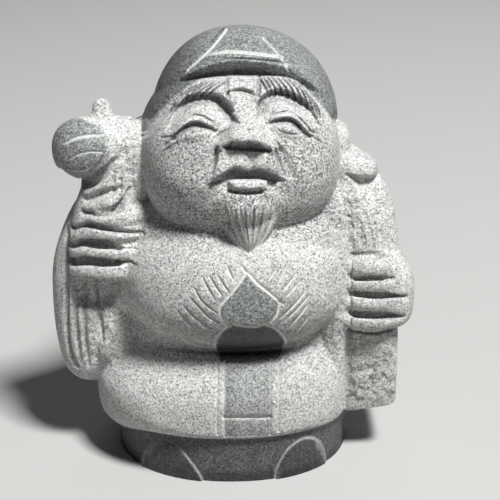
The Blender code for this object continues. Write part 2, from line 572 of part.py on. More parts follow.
def thin(obj):
    """Thins the skin to the finished number of faces."""
    fewer = obj.modifiers.new("Thinned", "DECIMATE")
    fewer.ratio = TRIANGLES / (2 * len(obj.data.vertices))
    fewer.use_collapse_triangulate = True
    settle(obj)


def cut_underside(obj):
    """Cuts the base flat at ground level."""
    bm = bmesh.new()
    bm.from_mesh(obj.data)
    everything = bm.verts[:] + bm.edges[:] + bm.faces[:]
    cut = bmesh.ops.bisect_plane(bm, geom=everything, dist=1e-7, plane_co=(0, 0, 0), plane_no=(0, 0, -1),
                                 clear_outer=True)
    rim = [item for item in cut["geom_cut"] if isinstance(item, bmesh.types.BMEdge)]
    bmesh.ops.edgeloop_fill(bm, edges=rim)
    bmesh.ops.triangulate(bm, faces=bm.faces[:])
    bmesh.ops.recalc_face_normals(bm, faces=bm.faces[:])
    bm.to_mesh(obj.data)
    bm.free()


def granite():
    stone = bpy.data.materials.new("Granite")
    stone.use_nodes = True
    shader = stone.node_tree.nodes["Principled BSDF"]
    shader.inputs["Base Color"].default_value = GRANITE
    shader.inputs["Roughness"].default_value = 0.72
    shader.inputs["Metallic"].default_value = 0.0
    return stone


def build():
    obj = figure(GRAIN, EASE)
    carve(obj)
    thin(obj)
    cut_underside(obj)
    return obj


def main():
    for obj in list(bpy.data.objects):
        bpy.data.objects.remove(obj)
    obj = build()
    obj.data.materials.append(granite())


if __name__ == "__main__":
    main()
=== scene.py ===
"""The carved granite figure in full detail, on a plain pale floor."""

import math

import bpy
import numpy as np
from mathutils import Matrix, Vector


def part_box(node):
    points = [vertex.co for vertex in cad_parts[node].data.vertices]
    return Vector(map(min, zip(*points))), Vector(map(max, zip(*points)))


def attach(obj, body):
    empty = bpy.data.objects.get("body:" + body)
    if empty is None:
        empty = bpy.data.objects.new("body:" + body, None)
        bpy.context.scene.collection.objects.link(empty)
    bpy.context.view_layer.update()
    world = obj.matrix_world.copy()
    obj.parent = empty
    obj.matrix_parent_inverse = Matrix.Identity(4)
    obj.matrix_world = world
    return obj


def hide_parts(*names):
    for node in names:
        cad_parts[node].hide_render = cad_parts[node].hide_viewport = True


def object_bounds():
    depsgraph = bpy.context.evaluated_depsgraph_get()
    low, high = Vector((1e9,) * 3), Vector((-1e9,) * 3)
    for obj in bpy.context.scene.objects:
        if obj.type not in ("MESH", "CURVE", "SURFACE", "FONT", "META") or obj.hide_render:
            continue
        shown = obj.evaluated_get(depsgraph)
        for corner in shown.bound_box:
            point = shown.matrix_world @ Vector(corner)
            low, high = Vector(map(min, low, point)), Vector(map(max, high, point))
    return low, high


bl_info = {
    "name": "Granite household god",
    "version": (1, 0, 0),
    "blender": (4, 5, 0),
    "location": "3D View > Sidebar > Statue",
    "description": "Carves a small granite figure with mallet, sack and round belly, and lights it",
    "category": "Object",
}

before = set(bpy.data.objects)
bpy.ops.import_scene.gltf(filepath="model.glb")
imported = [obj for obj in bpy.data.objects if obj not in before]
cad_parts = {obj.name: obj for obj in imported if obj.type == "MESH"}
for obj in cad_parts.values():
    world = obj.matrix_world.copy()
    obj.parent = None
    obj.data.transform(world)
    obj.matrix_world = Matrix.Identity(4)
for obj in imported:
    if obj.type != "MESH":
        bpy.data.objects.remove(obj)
CAD_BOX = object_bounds()
HEIGHT = CAD_BOX[1][2] - CAD_BOX[0][2]

# The figure is drawn on a scale of 150 parts to its height. Places and sizes on it are in parts.
PARTS = 150
BASE_HALF_WIDTH = 41.3
BASE_HALF_DEPTH = 36.8
HEAD_SQUARE = 2.6
HEAD_BULK = (34.5, 32.5, 30.0)      # half sizes of the head with its brows and cheeks
SOLID_GRAIN = 0.8                   # spacing of the solid's points while it is carved
SOLID_EASE = 4                      # passes that soften the solid's edges
# Of these marks, the darkest carries both dark stone and painted shade, and pecks darken their pits with
# painted shade.
MARKS = ("smoothed", "bruised", "dark_stone_and_painted_shade", "pecks")

# The photograph's view, in metres, degrees and millimetres of lens
VIEW_AIM = (0.0065, 0, 0.0715)
VIEW_AWAY = 0.450
VIEW_TILT = 20.5
VIEW_LENS = 92.2
VIEW_SENSOR = 36

# Each light's place and size in metres, and its power as a share of the key light's
LIGHTS = {"Key": ((0.72, -0.99, 2.20), 0.45, 1), "Fill": ((-0.9, -0.8, 0.5), 1.2, 0.003),
          "Back": ((0.1, 1.1, 0.8), 1.0, 0.022)}
LIGHT_AIM = (0, 0, 0.075)
AIR_LIGHT = 0.035
FLOOR_SIZE = 6.0


# Settings a user would change

def colour_setting(name, description, default):
    return bpy.props.FloatVectorProperty(
        name=name, description=description, subtype="COLOR", default=default, size=3, min=0, max=1)


class StatueForm(bpy.types.PropertyGroup):
    height: bpy.props.FloatProperty(
        name="Height", description="Underside of the base to the crown of the cap",
        default=HEIGHT, min=0.05, max=1.0, unit="LENGTH")
    grain: bpy.props.FloatProperty(
        name="Skin spacing", description="Spacing of the skin's points while it is carved, in parts",
        default=0.32, min=0.25, max=2.0)
    faces: bpy.props.IntProperty(
        name="Triangles", description="Triangles of the finished figure",
        default=194000, min=10000, max=199000)


class StatueStone(bpy.types.PropertyGroup):
    pecked: colour_setting("Pecked stone", "Middle colour of the pecked granite", (0.50, 0.51, 0.495))
    smoothed: colour_setting("Smoothed stone", "Middle colour of the rubbed granite", (0.090, 0.097, 0.092))
    bruised: colour_setting("Bruised lines", "Colour of crushed stone in a fresh cut", (0.62, 0.63, 0.61))
    crystal: bpy.props.FloatProperty(
        name="Crystal size", description="Width of one speckle of the granite",
        default=0.00055, min=0.0003, max=0.01, unit="LENGTH")


class StatueStage(bpy.types.PropertyGroup):
    floor: colour_setting("Floor", "Colour of the floor", (0.36, 0.36, 0.352))
    key_power: bpy.props.FloatProperty(
        name="Key light", description="Power of the soft light above on the right",
        default=130.0, min=0, unit="POWER")


# Smooth lines and closed skins

def powered(value, exponent):
    return np.sign(value) * np.abs(value) ** exponent


def unit(value):
    return np.clip(value, 0, 1)


def smooth_rows(rows, steps):
    """Rows of numbers, with a smooth curve's values between them."""
    rows = np.array(rows, float)
    padded = np.vstack([2 * rows[0] - rows[1], rows, 2 * rows[-1] - rows[-2]])
    out = []
    for a, b, c, d in zip(padded, padded[1:], padded[2:], padded[3:]):
        for step in range(steps):
            t = step / steps
            out.append(0.5 * (2 * b + (c - a) * t + (2 * a - 5 * b + 4 * c - d) * t * t
                              + (3 * b - a - 3 * c + d) * t ** 3))
    out.append(rows[-1])
    return np.array(out)


def placed(points, place):
    m = np.array(place)
    return points @ m[:3, :3].T + m[:3, 3]


class Block:
    """The forms of the figure as they are made, each from a ball that is drawn out into shape.

    Places are in parts of the height: the figure is 150 parts tall.
    """

    def __init__(self, part):
        self.part = part
        self.forms = []

    def skin(self, rings):
        """Draws a ball out over rings that all have the same number of points."""
        rings = np.array(rings)
        levels, count = rings.shape[:2]
        bpy.ops.mesh.primitive_uv_sphere_add(segments=count, ring_count=levels + 1, radius=1)
        obj = bpy.context.object
        ball = read(obj.data.vertices, "co")
        level = np.rint(np.arccos(np.clip(-ball[:, 2], -1, 1)) / math.pi * (levels + 1)).astype(int)
        around = np.rint(np.arctan2(ball[:, 1], ball[:, 0]) / (2 * math.pi) * count).astype(int) % count
        shaped = rings[np.clip(level - 1, 0, levels - 1), around]
        shaped[level == 0] = rings[0].mean(0)
        shaped[level == levels + 1] = rings[-1].mean(0)
        write(obj.data, shaped * self.part)
        self.forms.append(obj)

    def stack(self, sections, steps=4, shift=None, place=Matrix()):
        """A form through level sections: height, x, y, half width, front, back, squareness."""
        count = 56
        turn = np.linspace(0, 2 * math.pi, count, endpoint=False)
        rings = []
        for z, x, y, wide, front, back, square in smooth_rows(sections, steps):
            across = powered(np.cos(turn), 2 / square)
            along = powered(np.sin(turn), 2 / square)
            ring = np.stack([x + wide * across, y + np.where(along > 0, back, front) * along,
                             np.full(count, z)], 1)
            rings.append(placed(ring if shift is None else shift(ring), place))
        self.skin(rings)

    def boulder(self, centre, radii, square=2.0, turn=(0, 0, 0), place=Matrix()):
        """A rounded mass, from an ellipsoid at squareness 2 towards a box."""
        bpy.ops.mesh.primitive_uv_sphere_add(segments=96, ring_count=64, radius=1)
        obj = bpy.context.object
        points = read(obj.data.vertices, "co")
        points /= ((np.abs(points) ** square).sum(1) ** (1 / square))[:, None]
        x, y, z = (math.radians(angle) for angle in turn)
        m = (place @ Matrix.Translation(centre) @ Matrix.Rotation(z, 4, "Z") @ Matrix.Rotation(y, 4, "Y")
             @ Matrix.Rotation(x, 4, "X") @ Matrix.Diagonal((*radii, 1)))
        write(obj.data, placed(points, m) * self.part)
        self.forms.append(obj)

    def roll(self, points, radii, place=Matrix()):
        """A round-ended roll along a smooth path, such as a finger."""
        rows = smooth_rows([(*point, radius) for point, radius in zip(points, radii)], 6)
        path = rows[:, :3]
        along = np.gradient(path, axis=0)
        along /= np.linalg.norm(along, axis=1)[:, None]
        first, last = rows[0, 3], rows[-1, 3]
        ends = np.linspace(math.radians(3), math.pi / 2, 5)[:-1]
        stations = [(path[0], along[0], -first * math.cos(a), first * math.sin(a)) for a in ends]
        stations += [(p, a, 0, r) for p, a, r in zip(path, along, rows[:, 3])]
        stations += [(path[-1], along[-1], last * math.cos(a), last * math.sin(a)) for a in reversed(ends)]
        turn = np.linspace(0, 2 * math.pi, 20, endpoint=False)
        side = np.cross(along[0], (0.13, 0.21, 0.97))
        rings = []
        for p, a, push, r in stations:
            side = side - a * (side @ a)
            side = side / np.linalg.norm(side)
            spoke = np.cos(turn)[:, None] * side + np.sin(turn)[:, None] * np.cross(a, side)
            ring = p + a * push + r * spoke
            rings.append(placed(ring, place))
        self.skin(rings)


def read(items, field):
    flat = np.empty(len(items) * 3, np.float32)
    items.foreach_get(field, flat)
    return flat.reshape(-1, 3).astype(float)


def write(mesh, points):
    mesh.vertices.foreach_set("co", points.astype(np.float32).ravel())
    mesh.update()


# The forms, as in the solid

# The head looks up a little and to its left. In its own frame x is across, -y out of the face, z up.
HEAD = (Matrix.Translation((2.9, -6.0, 109.0)) @ Matrix.Rotation(math.radians(4), 4, "Z")
        @ Matrix.Rotation(math.radians(-16), 4, "X") @ Matrix.Rotation(math.radians(-2), 4, "Y"))
FRONT = Matrix()


def head(block):
    block.boulder((0, 0, 0), (33.2, 31, 28.5), HEAD_SQUARE, place=HEAD)


def beard(block):
    """A pointed beard that stands off the chest."""
    block.stack([
        (-12.5, 0.9, -20, 8, 5, 5, 2.2), (-16, 0.9, -21, 9.4, 8.2, 6, 2.2),
        (-20, 0.9, -21, 9.6, 8.2, 6, 2.2), (-24.5, 0.8, -20.5, 8, 7.8, 6, 2.1),
        (-28.5, 0.6, -20, 5.4, 6.8, 4, 2), (-31.6, 0.3, -19.6, 2.8, 5.4, 3, 2),
        (-33.6, 0.1, -19.4, 0.9, 4, 2, 2)], place=HEAD)


def ears(block):
    block.boulder((33.6, 3, -1.5), (3, 5.5, 7.5), place=HEAD)
    block.boulder((-33.4, 3, -1), (3.2, 5.5, 9.5), place=HEAD)


# The cap is a soft round hood, open over the face, and its rim arches over the forehead.
CAP_CENTRE = (2.9, 1, 117)
CAP_RADII = (33.4, 31.8, 33)
CAP_SLANT = 3.4                                     # how much nearer the crown the mallet's side stands
CAP_SQUARE = 2.12
RIM_TURN = (0, 20, 40, 60, 80, 100, 130, 180)       # degrees round from the middle of the forehead
RIM_RISE = (51, 48, 40, 25, 9, -2, -14, -22)        # degrees that the rim stands above the cap's middle


def cap(block):
    count, levels = 128, 30
    turn = np.linspace(0, 2 * math.pi, count, endpoint=False) - math.pi / 2
    away = np.abs((turn + 1.5 * math.pi) % (2 * math.pi) - math.pi)
    rim = np.interp(away, np.radians(RIM_TURN), np.radians(RIM_RISE))
    rings = []
    for level in range(levels):
        rise = rim + (math.radians(89) - rim) * level / (levels - 1)
        out = np.stack([np.cos(rise) * np.cos(turn), np.cos(rise) * np.sin(turn), np.sin(rise)], 1)
        out /= ((np.abs(out) ** CAP_SQUARE).sum(1) ** (1 / CAP_SQUARE))[:, None]
        out *= np.array(CAP_RADII)
        out[:, 0] *= np.where(out[:, 0] < 0, 1 - CAP_SLANT / CAP_RADII[0], 1)
        rings.append(np.array(CAP_CENTRE) + out)
    inside_cap = np.array((3.0, 4.0, 112.0)) + 0.02 * (rings[0] - np.array(CAP_CENTRE))
    block.skin([inside_cap] + rings)
    block.roll([(-18, -4, 129), (-24, -6, 123.5), (-30.2, -8, 116.5)], (6.2, 4.4, 1.6))


def base(block):
    """The low round base, which runs on below the ground until its underside is cut flat."""
    wide, deep = BASE_HALF_WIDTH, BASE_HALF_DEPTH
    block.stack([
        (-4, 0, 0, wide, deep, deep, 2.12), (14, 0, 0, wide, deep, deep, 2.12),
        (26, 0, 0, wide - 1, deep - 1, deep - 1, 2.12)], steps=2)


def raise_hem(ring):
    """Lifts the robe's hem in front, over the feet."""
    front = unit((-ring[:, 1] - 8) / 28)
    low = unit((34 - ring[:, 2]) / 26)
    ring[:, 2] += 8.5 * front * front * (3 - 2 * front) * low
    return ring


def robe(block):
    block.stack([
        (8.5, -1.2, 0, 39.5, 37.5, 33, 2.4), (11.5, -2, 0, 42.4, 39.2, 35.2, 2.4),
        (17, -2.9, 0, 44.8, 39.6, 36.5, 2.45), (28, -3.2, 0, 45.2, 39.8, 36.8, 2.45),
        (35, -2.6, 0, 43.9, 38.6, 36, 2.4), (40, -1.5, 0, 41, 36.2, 34, 2.3),
        (46, 0, 0, 36.5, 32.5, 32, 2.3)], shift=raise_hem)


def trunk(block):
    block.stack([
        (34, 0, 0, 38, 30, 33, 2.4), (60, 1, 0, 40, 30, 36, 2.4), (85, 2, 0, 40, 27, 34, 2.4),
        (100, 3, 2, 36, 22, 28, 2.3), (112, 3, 3, 28, 16, 20, 2.2)])


def belly(block):
    block.boulder((1.2, -5, 68.5), (40.2, 38.6, 26), square=2.35)
    block.boulder((2.4, -5, 82), (38.5, 30, 15), square=2.3)


def mallet(block):
    block.boulder((-46.2, -13.5, 112.4), (11.8, 10.8, 10.4), square=2.25, turn=(0, 0, -20))
    block.boulder((-38, -9, 112), (12.5, 10.5, 9.8), square=2.25, turn=(0, 0, -20))
    block.roll([(-42.4, -9, 115), (-42.4, -8.6, 120), (-42.6, -8.4, 125)], (6.4, 4.6, 3.1))
    block.roll([(-41, -8, 110), (-42, -10, 95), (-43, -10, 80)], (9, 8.5, 8))
    block.boulder((-33.5, -8.5, 105.5), (8.5, 12, 15), square=2.4)


# Level of each finger's middle, and its outer end across, on the two hands
RIGHT_FINGERS = ((91.6, -47.4), (86.6, -50.2), (79.9, -52.4), (72.9, -53.2))
LEFT_FINGERS = ((73.8, 55), (68.1, 58.8), (61.3, 59.4), (54.4, 58.2))


def right_arm(block):
    block.roll([
        (-26, 4, 108), (-33, 0, 103), (-37, -4, 93), (-38, -7, 80), (-35, -8, 64)], (12, 13, 14, 15, 14))
    block.boulder((-42.6, -12.5, 82.4), (11.4, 13.4, 13.2), square=3, turn=(0, 12, -6))
    block.stack([
        (84, -42.6, -11, 11.4, 14, 10, 2.8), (92, -41.6, -11, 11, 14.2, 10, 2.8),
        (98, -40.2, -11, 10.2, 13, 10, 2.6), (104, -38.8, -11, 9.4, 11.6, 10, 2.4),
        (110, -38, -11, 9, 10, 9, 2.2)])
    block.roll([
        (-46.8, -17, 94.9), (-42.6, -21.8, 96.2), (-37.8, -22, 97.6),
        (-34, -18.8, 101.2)], (2.2, 2.8, 2.8, 2))
    for level, end in RIGHT_FINGERS:
        block.roll([
            (end, -15, level - 0.6), (end + 2.8, -20.6, level), (-43, -23.6, level + 0.2),
            (-34.5, -22.8, level), (-29, -16.8, level), (-24, -10, level)], (3.5,) * 6)


def right_sleeve(block):
    block.stack([
        (26.6, -50, -6, 5.5, 6, 12, 2.2), (31.6, -50, -6, 9.3, 9.5, 15, 2.5),
        (44, -49.6, -6, 12, 12.4, 17, 2.7), (58, -48.8, -6, 13.4, 13.6, 18, 2.7),
        (72, -48, -6, 13.2, 13.6, 17, 2.7), (86, -45.5, -6, 10.8, 12.5, 16, 2.5),
        (97, -42.5, -5, 7, 8, 13, 2.3)])
    block.boulder((-39, -6, 47), (11, 14.6, 20), square=2.4)


def left_arm(block):
    block.roll([
        (32, 0, 106), (40, -5, 98), (44.5, -9, 86), (46.5, -10, 72), (46, -8, 58)], (9, 11, 11.5, 11.5, 12))
    block.boulder((32.8, -2, 110), (7.4, 9, 7.8), square=4.4)
    block.boulder((41.8, -8, 103.4), (7.7, 8, 6.4), square=2.3, turn=(0, 10, 0))
    block.stack([
        (50.4, 48.6, -11, 10.6, 11.6, 12, 2.8), (54, 49.6, -11, 12.8, 13.4, 13, 3),
        (64, 49.9, -11, 13.1, 13.8, 13, 3), (70, 49.4, -11, 12.2, 13.4, 13, 3),
        (75, 48.2, -11, 10.2, 12.6, 12, 2.8), (78.4, 47.4, -11, 8.4, 11, 11, 2.6)])
    for level, end in LEFT_FINGERS:
        block.roll([
            (35, -18.5, level), (41.5, -21.2, level), (48.5, -22.8, level + 0.3), (end - 3.2, -19.5, level),
            (end, -11, level - 0.6), (end - 1.1, -2, level - 1)], (3.7,) * 6)


def left_side(block):
    """The upright band of the body between the belly and the left hand."""
    block.stack([
        (26, 35.5, -6, 5.6, 13.5, 12, 3.4), (44, 35.4, -6, 5.7, 16, 12, 3.4),
        (60, 35, -6, 5.9, 19, 12, 3.4), (76, 34.8, -6, 5.9, 19, 12, 3.4), (86, 34.4, -6, 5.8, 16, 12, 3.2),
        (96, 34, -6, 5.6, 12, 12, 2.8), (104, 33.4, -5, 5, 8, 10, 2.6)])


def tilt_end(ring):
    """Slopes the foot of the sack's hanging end up towards its outer corner."""
    ring[:, 2] += 0.17 * (ring[:, 0] - 49) * unit((34 - ring[:, 2]) / 14)
    return ring


def hanging_end(block):
    """The sack's rough lower end, below the left hand."""
    block.stack([
        (17.6, 48.8, -2, 9.8, 14.5, 16, 6), (30, 48.8, -2, 9.8, 16.5, 17, 5.5),
        (46, 48.6, -2, 9.6, 18, 18, 5), (58, 48.2, -2, 9.5, 18, 17, 4)], steps=2, shift=tilt_end)


def sack(block):
    """The full sack on the back, and its neck over the left shoulder."""
    block.boulder((4, 12, 66), (46, 31, 42), square=2.35, turn=(0, 8, 0))
    block.roll([(28, 14, 92), (37, 6, 94), (43.5, -3, 91), (47.5, -8, 82)], (14, 11.5, 10.5, 9.8))


# Chisel work: every cut moves the skin, and some also mark it

class Skin:
    """The points of the figure, in parts of its height, with the marks that the chisel leaves on them."""

    def __init__(self, mesh, part):
        self.mesh = mesh
        self.part = part
        self.points = read(mesh.vertices, "co") / part
        self.marks = {name: np.zeros(len(self.points)) for name in (*MARKS, "fine")}

    def normals(self):
        return read(self.mesh.vertex_normals, "vector")

    def mark(self, name, share, where=slice(None)):
        """Raises a mark to a share from 0 to 1 where it is lower."""
        marks = self.marks[name]
        marks[where] = np.maximum(marks[where], share)

    def settle(self):
        write(self.mesh, self.points * self.part)


class Side:
    """The part of a skin that faces one way, seen flat: across, up and out are in parts of the height."""

    def __init__(self, skin, place, nearest, least):
        m = np.array(place)
        local = (skin.points - m[:3, 3]) @ m[:3, :3]
        normals = skin.normals()
        facing = -(normals @ m[:3, 1])
        self.chosen = np.nonzero((-local[:, 1] > nearest) & (facing > least))[0]
        self.across = local[self.chosen, 0]
        self.out = -local[self.chosen, 1]
        self.up = local[self.chosen, 2]
        self.normals = normals[self.chosen]
        self.toward = -m[:3, 1]
        self.skin = skin
        self.rise = np.zeros(len(self.chosen))

    def near(self, line, reach):
        low, high = np.min(line, 0) - reach, np.max(line, 0) + reach
        return np.nonzero((self.across > low[0]) & (self.across < high[0])
                          & (self.up > low[1]) & (self.up < high[1]))[0]

    def gap(self, line, near):
        """Distance of the near points from a line, their place along it, and whether they lie to its left."""
        lengths = [math.dist(a, b) for a, b in zip(line, line[1:])]
        whole, passed = sum(lengths), 0
        across, up = self.across[near], self.up[near]
        best = np.full(len(near), 1e9)
        place = np.zeros(len(near))
        left = np.zeros(len(near), bool)
        for (ax, ay), (bx, by), length in zip(line, line[1:], lengths):
            dx, dy = bx - ax, by - ay
            x, y = across - ax, up - ay
            t = unit((x * dx + y * dy) / (length * length))
            away = np.hypot(x - t * dx, y - t * dy)
            nearer = away < best
            best = np.where(nearer, away, best)
            place = np.where(nearer, (passed + t * length) / whole, place)
            left = np.where(nearer, dx * y - dy * x > 0, left)
            passed += length
        return best, place, left

    def within(self, outline, near):
        """How far inside an outline the near points are, negative outside it."""
        across, up = self.across[near], self.up[near]
        odd = np.zeros(len(near), bool)
        closed = [tuple(point) for point in outline]
        closed.append(closed[0])
        for (ax, ay), (bx, by) in zip(closed, closed[1:]):
            if ay == by:
                continue
            spans = (ay > up) != (by > up)
            odd ^= spans & (across < ax + (up - ay) * (bx - ax) / (by - ay))
        closed = [a for a, b in zip(closed, closed[1:]) if a != b] + [closed[0]]
        return self.gap(closed, near)[0] * np.where(odd, 1, -1)

    def mark(self, name, share, near=slice(None)):
        self.skin.mark(name, share, self.chosen[near])

    def cut(self, line, reach, depth, right=None, ends=1, flare=2.0, bruise=0.0, dark=0.0):
        """Cuts a round groove along a smooth line, to one reach on its left and another on its right.

        Its floor is flatter, and its walls steeper, the less it flares. It may be bruised pale, and its
        groove may be darkened with painted shade.
        """
        rows = smooth_rows(np.reshape(line, (-1, 2)), 5)
        first, last = np.broadcast_to(ends, 2)
        near = self.near(rows, max(reach, right or reach))
        away, place, left = self.gap(rows, near)
        fade = np.interp(place, (0, 0.3, 0.7, 1), (first, 1, 1, last))
        width = np.where(left, reach, right or reach) * (0.4 + 0.6 * fade)
        share = unit(1 - (away / width) ** 2)
        self.rise[near] -= depth * fade * share ** flare
        if reach < 1.0:
            self.mark("fine", away < width + 0.2, near)
        if bruise:
            self.mark("bruised", bruise * fade * unit((share - 0.35) / 0.35), near)
        # Painted shade: the dark share darkens the colour along the groove, where shadow would fall.
        if dark:
            self.mark("dark_stone_and_painted_shade", dark * fade * unit(share / 0.5), near)

    def ridge(self, line, reach, height, ends=1):
        self.cut(line, reach, -height, ends=ends)

    def patch(self, centre, radii, turn=0):
        """Share of a smooth oval, from 0 at its edge to 1 in its middle."""
        c, s = math.cos(math.radians(turn)), math.sin(math.radians(turn))
        x, y = self.across - centre[0], self.up - centre[1]
        return unit(1 - ((x * c + y * s) / radii[0]) ** 2 - ((y * c - x * s) / radii[1]) ** 2)

    def oval(self, centre, radii, height, turn=0):
        """Raises a smooth rounded swelling."""
        share = self.patch(centre, radii, turn)
        self.rise += height * share * share * (3 - 2 * share)

    def shelf(self, outline, height, edge, mark=None, value=1.0):
        """Raises or sinks what is inside an outline, with a slope of one width all round."""
        outline = np.reshape(outline, (-1, 2))
        near = self.near(outline, edge)
        share = unit(self.within(outline, near) / edge + 0.5)
        share = share * share * (3 - 2 * share)
        self.rise[near] += height * share
        if mark:
            self.mark(mark, value * share, near)
            self.mark("fine", (share > 0) & (share < 1), near)

    def done(self, straight):
        """Moves the points, along their own normals or straight out of the view."""
        way = self.toward if straight else self.normals
        self.skin.points[self.chosen] += way * self.rise[:, None]
        self.skin.settle()


# A line or outline is a row of numbers, across and up for each of its points. The face has its own frame.
NOSE_MIDDLE = 0.6
NOSE_LEVEL = (1.6, 3, 5, 7, 10, 13, 17)
NOSE_HALF = (9, 8.8, 7.6, 5.8, 4, 3.4, 3.2)
NOSE_OUT = (6.9, 6.9, 6.2, 4.7, 2.7, 1.3, 0)
NOSE_FOOT_ACROSS = (-8.1, -6.2, -4.1, -1.4, 1.3, 4.4, 7.1, 9.1)
NOSE_FOOT_LEVEL = (1.8, 2.8, 3.7, 3.5, 3.6, 2.7, 1.4, -0.2)
BROWS = (
    (-25.2, 9, -23.2, 15, -18.2, 19.4, -12.2, 21.4, -7, 20.8, -4, 17.4),
    (6.2, 17.8, 9.2, 21.2, 14.6, 21.4, 20.4, 18.4, 24.6, 14.4, 26.8, 9.4))
HOLLOWS = (
    (-23.2, 9.4, -21.2, 13.6, -17.6, 17, -13.4, 18.2, -8.8, 18, -5.9, 16.4, -3.7, 13),
    (5.4, 13.2, 6.6, 16, 9.7, 17.8, 13.6, 18, 17.6, 16.2, 21, 13.4, 23.6, 9.4))
LIDS = (
    (-22.8, 7.6, -19.4, 10.6, -15.7, 12.2, -12.7, 11.8, -9.3, 9.6),
    (8.3, 10.4, 11.2, 11.5, 14.4, 11.8, 16.9, 10.4, 19.3, 7.9, 21.2, 5.6))
SLITS = (
    (-21.9, 6.2, -18.5, 8.7, -15.4, 9.9, -12.5, 9.2, -9.6, 7.9),
    (8.3, 8.9, 11.1, 9.5, 14.3, 9.6, 16.6, 8.4, 18.4, 6.3, 20.6, 4.2))
UPPER_LIP = (
    -11.1, -8.8, -8.3, -7.1, -5.5, -5.7, -3.2, -4.8, -1, -5.6, 0.8, -6.2, 3.6, -5.6, 6.7, -6.7, 9.4, -7.9,
    10.7, -8.6)
MOUTH = (
    -10.9, -8.7, -10.2, -9.3, -7.6, -11, -5.4, -13.1, -2.4, -14, 1.9, -14, 4.9, -13.6, 6.9, -11.8, 8.9, -10,
    10.1, -8.8, 5, -8, 0, -8, -5, -8)
TONGUE = (
    -5.8, -8.9, -3, -8.5, -0.2, -8.5, 3.4, -8.8, 6.7, -9.4, 5.6, -12, 2.8, -11.6, 0.5, -11.7, -2.2, -11.3,
    -4.5, -11)
UNDER_TONGUE = (-5.6, -12, -2.7, -12.6, 0.5, -12.9, 3.7, -12.9, 5.8, -12.4)
MUZZLE = (-8.1, 1.6, -8.6, 0, -8.9, -2, -9.6, -4.5, *UPPER_LIP, 10, -5.1, 9.4, -2.8, 8.8, -0.5)
MUZZLE_SIDES = ((-8.6, 1.8, -9.2, 0, -9.5, -2, -10.4, -4.6), (9.5, -0.2, 10.1, -2.6, 10.8, -5, 11.7, -7.6))
CHEEK_LINES = (
    (-9.6, 0.5, -11.2, -2.8, -13, -6.2, -13.8, -9.4), (10.9, -0.8, 12.6, -4.7, 14.4, -8.6, 15.1, -11.4))
NOSE_SIDES = ((-10.4, 3, -8.9, 4.6, -7, 6, -4.4, 7.4), (11.2, -0.1, 9.9, 2.4, 7.4, 4.8, 5.1, 6.5))
FROWN = (-3.8, 18.6, -1.8, 19.2, 0.5, 19.4, 3.2, 18.4)
FROWN_SIDES = ((-3.9, 24, -4.4, 20, -4, 17.2), (6.8, 24, 5.8, 20.3, 5.2, 17.2))
UNDER_BRIM = (-24, 19.8, -16.9, 23.2, -11, 24.8, -3.2, 25.5, 6.3, 25.2, 14, 23.9, 20, 21, 26, 16.4)
LOWER_LIDS = ((-19.4, 5.6, -16.8, 6.8, -14.1, 7, -11.3, 6.8), (10.3, 6.6, 12.4, 5.2, 15.5, 4.6, 18.9, 4.6))
CROWS_FEET = (
    (-22.8, 6.2, -26.2, 6), (-21.8, 5.6, -23.4, 4.6, -26, 3), (-21.2, 4.2, -23.1, 3.1, -26, 1.2),
    (20.8, 5.4, 24.6, 4.4), (21.1, 4, 23.1, 2.9, 25.4, 0.8))
BROW_HAIRS = (
    ((-4.1, 22.7, -7.1, 20.9, -10, 18.7), (-7.4, 23.1, -11.4, 20.8, -15, 18.2),
     (-10.3, 23.2, -14.8, 20.6, -18.8, 17.2), (-14.2, 22.2, -18.1, 19.2, -21.6, 14.9),
     (-18.8, 19.8, -21.2, 16.6, -22.8, 13.4)),
    ((6.4, 23.4, 7.3, 21, 8.4, 18.6), (9, 23.5, 10.4, 20.7, 11.5, 18), (12.2, 23.2, 14.2, 19.9, 15.6, 16.8),
     (15.9, 22.5, 18, 19, 19.5, 15.2), (19.7, 20.2, 21.7, 16.3, 22.8, 12.3),
     (23.2, 16.2, 24.6, 12.6, 25.2, 9.6)))
FOREHEAD = (
    -29.1, 12.5, -25.4, 14.9, -22.2, 17.7, -18.1, 21, -12.9, 23.9, -6.6, 25.3, -1.2, 25.6, 6.5, 25.2, 12.3,
    24.2, 17.3, 22.3, 21.9, 19, 25.6, 14.9, 29.4, 10.9, 31.4, 8.6)
CHEEKS = ((-18.5, -3), (19.5, -3))
EYEBALLS = (((-15.4, 8.8), 12), ((15.2, 8), -14))
PECKED = ((-19, -5, 13, 15), (20, -5.5, 14, 16), (0.8, -16, 12, 6), (-15, -21, 17, 10), (17, -21, 16, 10))
JAW_TOP = -13.0
CHIN_MIDDLE = 0.9


def nose(view):
    """Raises the nose, broad at its foot, with painted shade darkening its underside."""
    gap = np.abs(view.across - NOSE_MIDDLE)
    half = np.interp(view.up, NOSE_LEVEL, NOSE_HALF)
    out = np.interp(view.up, NOSE_LEVEL, NOSE_OUT)
    foot = np.interp(view.across, NOSE_FOOT_ACROSS, NOSE_FOOT_LEVEL)
    side = unit((half - gap) / 3.2 + 0.35)
    wing = np.where(gap > 4.4, 1 - 0.42 * unit((gap - 4.4) / 2.0), 1)
    drop = np.interp(gap, (0, 8.5), (3.1, 1.5))
    under = unit((view.up - foot) / drop + 1.0)
    side *= side * (3 - 2 * side)
    view.rise += out * wing * side * under
    # Painted shade on the nose's underside.
    view.mark("dark_stone_and_painted_shade", 0.85 * side * unit(8 * under * (1 - under)))
    for line in NOSE_SIDES:
        view.cut(line, 1, 1.2, ends=(0.8, 0.3))


